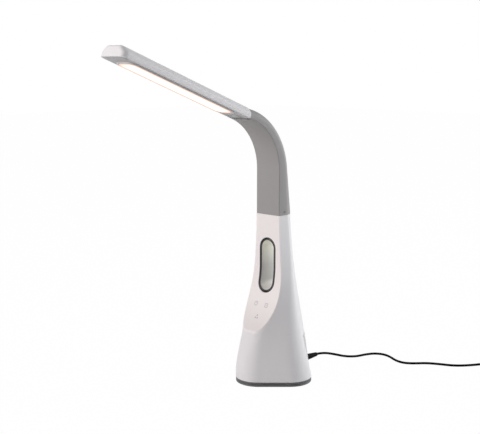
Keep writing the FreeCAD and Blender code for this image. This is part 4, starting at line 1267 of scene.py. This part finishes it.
@dataclass
class PowerCord:
    """The thin black lead: along the desk, then put away in a coil, to the wall adapter."""

    diameter: float = 3.2 * MM
    route: Tuple[Point, ...] = (
        (0.0, 0.0862, 0.0122), (0.001, 0.098, 0.0116), (0.008, 0.112, 0.0082), (0.017, 0.126, 0.0036),
        (0.0245, 0.142, 0.0017), (0.027, 0.1575, 0.0016), (0.033, 0.1725, 0.0016), (0.046, 0.1785, 0.0016),
        (0.060, 0.1745, 0.0016), (0.075, 0.166, 0.0016), (0.090, 0.164, 0.0016), (0.102, 0.173, 0.0016),
        (0.112, 0.186, 0.0016), (0.128, 0.195, 0.0016), (0.144, 0.2015, 0.0016), (0.156, 0.213, 0.0016),
        (0.168, 0.231, 0.0019), (0.178, 0.248, 0.00275), (0.187, 0.265, 0.00275),
    )
    middle_diameters: float = 11.0
    turn_gap: float = 1.05 * MM
    layers: int = 4
    spiral_turns: float = 2.375
    climb_turns: float = 0.5
    points_per_turn: int = 24
    round_steps: int = 5
    run_steps: int = 4
    order: int = 3

    def coil(self, entry: Vector, along: Vector) -> List[Vector]:
        """Points on the coil's turns, which spiral in and out and climb between layers.

        Args:
            entry: Where the coil begins.
            along: The level direction of the cord there.

        Returns:
            Points from the coil's beginning to its end.
        """
        pitch = self.diameter + self.turn_gap
        middle = self.middle_diameters * self.diameter / 2
        outer = middle + self.spiral_turns * pitch / 2
        inner = middle - self.spiral_turns * pitch / 2
        side = UP.cross(along)
        centre = Vector((entry.x, entry.y, 0.0)) - side * outer
        first = math.atan2(side.y, side.x)
        cycle = self.spiral_turns + self.climb_turns
        turns = self.layers * self.spiral_turns + (self.layers - 1) * self.climb_turns
        count = round(turns * self.points_per_turn)
        points = []
        for index in range(count + 1):
            turn = turns * index / count
            layer = min(int(turn / cycle), self.layers - 1)
            within = turn - layer * cycle
            spiral = min(within / self.spiral_turns, 1.0)
            radius = outer + (inner - outer) * (spiral if layer % 2 == 0 else 1.0 - spiral)
            climb = max(within - self.spiral_turns, 0.0) / self.climb_turns
            height = entry.z + pitch * (layer + (1.0 - math.cos(math.pi * climb)) / 2)
            angle = first - math.tau * turn
            points.append(centre + Vector((radius * math.cos(angle), radius * math.sin(angle), height)))
        return points

    def build(self) -> Object:
        """One smooth curve from the plug to the adapter."""
        points = [Vector(p) for p in self.route]
        along = points[-1] - points[-2]
        along.z = 0.0
        along.normalize()
        turns = self.coil(points[-1] + along * self.diameter, along)
        points.extend(turns)
        points.append(turns[-1] + along * self.diameter)
        curve = bpy.data.curves.new("power_cord", "CURVE")
        curve.dimensions = "3D"
        curve.bevel_depth = self.diameter / 2
        curve.bevel_resolution = self.round_steps
        curve.resolution_u = self.run_steps
        curve.use_fill_caps = True
        spline = curve.splines.new("NURBS")
        spline.points.add(len(points) - 1)
        for spot, place in zip(spline.points, points):
            spot.co = (*place, 1.0)
        spline.order_u = self.order
        spline.use_endpoint_u = True
        obj = new_object("power_cord", curve)
        stand_in(obj, BLACK_RUBBER, "base", "rubber", "cord_run", "cord_coil")
        ends = [finished_copy(node, name, "base", BLACK_RUBBER, SOFT_CREASE) for node, name in (
            ("cord_plug", "plug"), ("coil_tie", "tie"), ("adapter_relief", "relief"),
        )]
        ends += [frame["nodes"][node] for node in ("wall_adapter", "adapter_prongs")]
        return obj


@dataclass(frozen=True)
class SoftLight:
    """One soft square light: its place, side, power in watts and colour."""

    name: str
    place: Point
    size: float
    power: float
    colour: Colour


@dataclass
class Studio:
    """Floor, lights and camera."""

    azimuth: float = 45.0
    elevation: float = 8.9
    camera_place: Point = (0.8738, -0.9393, 0.4148)
    lens: float = 75.0
    sensor: float = 36.0
    clip: float = 0.05
    backdrop: Colour = (1.0, 1.0, 1.0)
    floor_colour: Colour = (0.9, 0.9, 0.9)
    floor_white: float = 0.99
    floor_half: float = 6.0
    ambient: float = 0.15
    aim: Point = (0.0, -0.05, 0.2)
    lights: Tuple[SoftLight, ...] = (
        SoftLight("front", (-0.65, -1.6, 0.9), 1.0, 21.5, (1.0, 0.965, 0.96)),
        SoftLight("side", (1.05, 1.45, 0.8), 1.2, 26.0, (0.96, 0.98, 1.0)),
    )

    def camera(self) -> None:
        """The camera, at the photograph's place and angle."""
        data = bpy.data.cameras.new("camera")
        data.lens = self.lens
        data.sensor_width = self.sensor
        data.sensor_fit = "HORIZONTAL"
        data.clip_start = self.clip
        obj = new_object("camera", data)
        turn, rise = math.radians(self.azimuth), math.radians(self.elevation)
        back = Vector((math.sin(turn) * math.cos(rise), -math.cos(turn) * math.cos(rise), math.sin(rise)))
        obj.location = self.camera_place
        obj.rotation_euler = back.to_track_quat("Z", "Y").to_euler()
        bpy.context.scene.camera = obj

    def lamp(self, light: SoftLight) -> None:
        """Put up one light, aimed at the lamp."""
        data = bpy.data.lights.new(light.name, "AREA")
        data.size = light.size
        data.energy = light.power
        data.color = light.colour
        obj = new_object(light.name, data)
        obj.location = light.place
        obj.rotation_euler = (Vector(light.place) - Vector(self.aim)).to_track_quat("Z", "Y").to_euler()

    def seen(self, tree: Tree) -> Socket:
        """1 on rays that show a surface to the camera, straight or by reflection, else 0."""
        rays = add_node(tree, "ShaderNodeLightPath").outputs
        both = maths(tree, "ADD", rays["Is Camera Ray"], rays["Is Glossy Ray"])
        return maths(tree, "ADD", both, rays["Is Transmission Ray"], clamp=True)

    def floor(self) -> None:
        """A pale level floor that keeps a faint shadow."""
        shape = bmesh.new()
        bmesh.ops.create_grid(shape, x_segments=1, y_segments=1, size=self.floor_half)
        obj = solid("floor", shape)
        material = blank_material("pale_floor", casts_light=False)
        tree = material.node_tree
        matt = add_node(tree, "ShaderNodeBsdfDiffuse", {"Color": self.floor_colour})
        glow = add_node(tree, "ShaderNodeEmission", {"Color": self.backdrop})
        share = maths(tree, "MULTIPLY", self.seen(tree), self.floor_white)
        mix = add_node(tree, "ShaderNodeMixShader", {0: share, 1: matt.outputs[0], 2: glow.outputs[0]})
        add_node(tree, "ShaderNodeOutputMaterial", {"Surface": mix.outputs[0]})
        wear(obj, material)

    def world(self) -> None:
        """White where the camera looks past the floor, and a soft grey light on the lamp."""
        world = bpy.data.worlds.new("studio")
        bpy.context.scene.world = world
        world.use_nodes = True
        tree = world.node_tree
        tree.nodes.clear()
        light, shown = [
            add_node(tree, "ShaderNodeBackground", {"Color": self.backdrop, "Strength": strength}).outputs[0]
            for strength in (self.ambient, 1.0)
        ]
        mix = add_node(tree, "ShaderNodeMixShader", {0: self.seen(tree), 1: light, 2: shown})
        add_node(tree, "ShaderNodeOutputWorld", {"Surface": mix.outputs[0]})

    def build(self) -> None:
        """Set up the whole studio."""
        bpy.context.scene.view_settings.view_transform = "Standard"
        self.camera()
        self.floor()
        self.world()
        for light in self.lights:
            self.lamp(light)


@dataclass
class DeskLamp:
    """The whole lamp, in the order in which it is put together.

    Attributes:
        path: Where the neck and the head lie.
        neck_bodies: The neck's bodies in order.
        foot_front: The foot's front screw, under its head.
        foot_corner: The foot's side corner: its x, y and round.
        foot_inset: How far a side screw lies inside the round.
        collar_screw: The right screw of the neck's collar.
        cover_screw: The right screw of the head's cover, in the head's own directions.
    """

    path: HeadFrame = field(default_factory=HeadFrame)
    neck_bodies: Tuple[str, ...] = ("base", "neck_lower", "neck_middle", "neck_upper", "head")
    foot_front: Point = (0.0, -55.4 * MM, 3.1 * MM)
    foot_corner: Point = (70.1 * MM, -3.3 * MM, 30.0 * MM)
    foot_inset: float = 5.6 * MM
    collar_screw: Point = (20.0 * MM, -4.7 * MM, 223.1 * MM)
    cover_screw: Point = (9.0 * MM, 14.0 * MM, 1.5 * MM)

    def dress_nodes(self) -> None:
        """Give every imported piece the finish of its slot."""
        slots = {part["node"]: part["material_slot"] for part in frame["record"]["subparts"]}
        for node, obj in frame["nodes"].items():
            finish = FINISHES.get(slots[node])
            if finish is not None:
                wear(obj, finish.material())

    def screws(self) -> None:
        """The screws of the foot, the neck's collar and the head's cover."""
        sides = (1.0, -1.0)
        corner_x, corner_y, corner_round = self.foot_corner
        foot_x = corner_x - corner_round * (math.sqrt(2.0) - 1.0) - self.foot_inset
        foot = [Vector(self.foot_front)]
        foot.extend(Vector((side * foot_x, corner_y, self.foot_front[2])) for side in sides)
        ScrewSet("foot_screws", "base", "base_screws", foot, [-UP] * len(foot), radius=2.8 * MM,
                 height=1.6 * MM, shank=1.5 * MM, length=12.4 * MM, finish=PLAIN_STEEL).build()
        x, y, z = self.collar_screw
        collar = [Vector((side * x, y, z)) for side in sides]
        ScrewSet("collar_screws", "base", "neck_side_screws", collar, [RIGHT, -RIGHT], radius=1.7 * MM,
                 height=0.5 * MM, shank=1.0 * MM, length=4.5 * MM, finish=DARK_STEEL).build()
        x, along, up = self.cover_screw
        cover = [self.path.place(side * x, along, up) for side in sides]
        ScrewSet("cover_screws", "head", "head_screws", cover, [-self.path.up] * len(cover), radius=2.3 * MM,
                 height=1.2 * MM, shank=1.25 * MM, length=4.8 * MM, finish=PLAIN_STEEL).build()

    def build(self) -> None:
        """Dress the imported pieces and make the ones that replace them."""
        self.dress_nodes()
        for node, name, body, finish in (
            # The air ring is near-black as painted shade of the air slot.
            ("nozzle_ring", "air_ring", "base", SHADE_BLACK_PLASTIC),
            ("foot_pan", "foot", "base", FOOT_GREY),
            ("head_cover", "head_under", "head", COVER_GREY_AND_SHADE),
            ("touch_signs", "signs", "base", SIGN_PRINT),
            ("foot_mat", "mat", "base", BLACK_RUBBER),
        ):
            finished_copy(node, name, body, finish)
            LOG.info("finished %s", name)
        window = finished_copy("light_window", "window", "head", WHITE_SHELL)
        wear(window, LitWindow(self.path).material())
        tower = Tower()
        tower.build()
        way = finished_copy("air_tunnel", "air_way", "base", CREAM_PLASTIC)
        wear(way, AirWay().material(tower))
        self.screws()
        HeadShell(self.path).build()
        bands = NeckSleeve(self.path).build(self.neck_bodies)
        LOG.info("sleeve of %d bands", len(bands))
        PowerCord().build()
        LOG.info("cord laid")


def main() -> None:
    """Build the lamp and its studio."""
    logging.basicConfig(level=logging.INFO)
    Studio().build()
    DeskLamp().build()


if __name__ == "__main__":
    main()
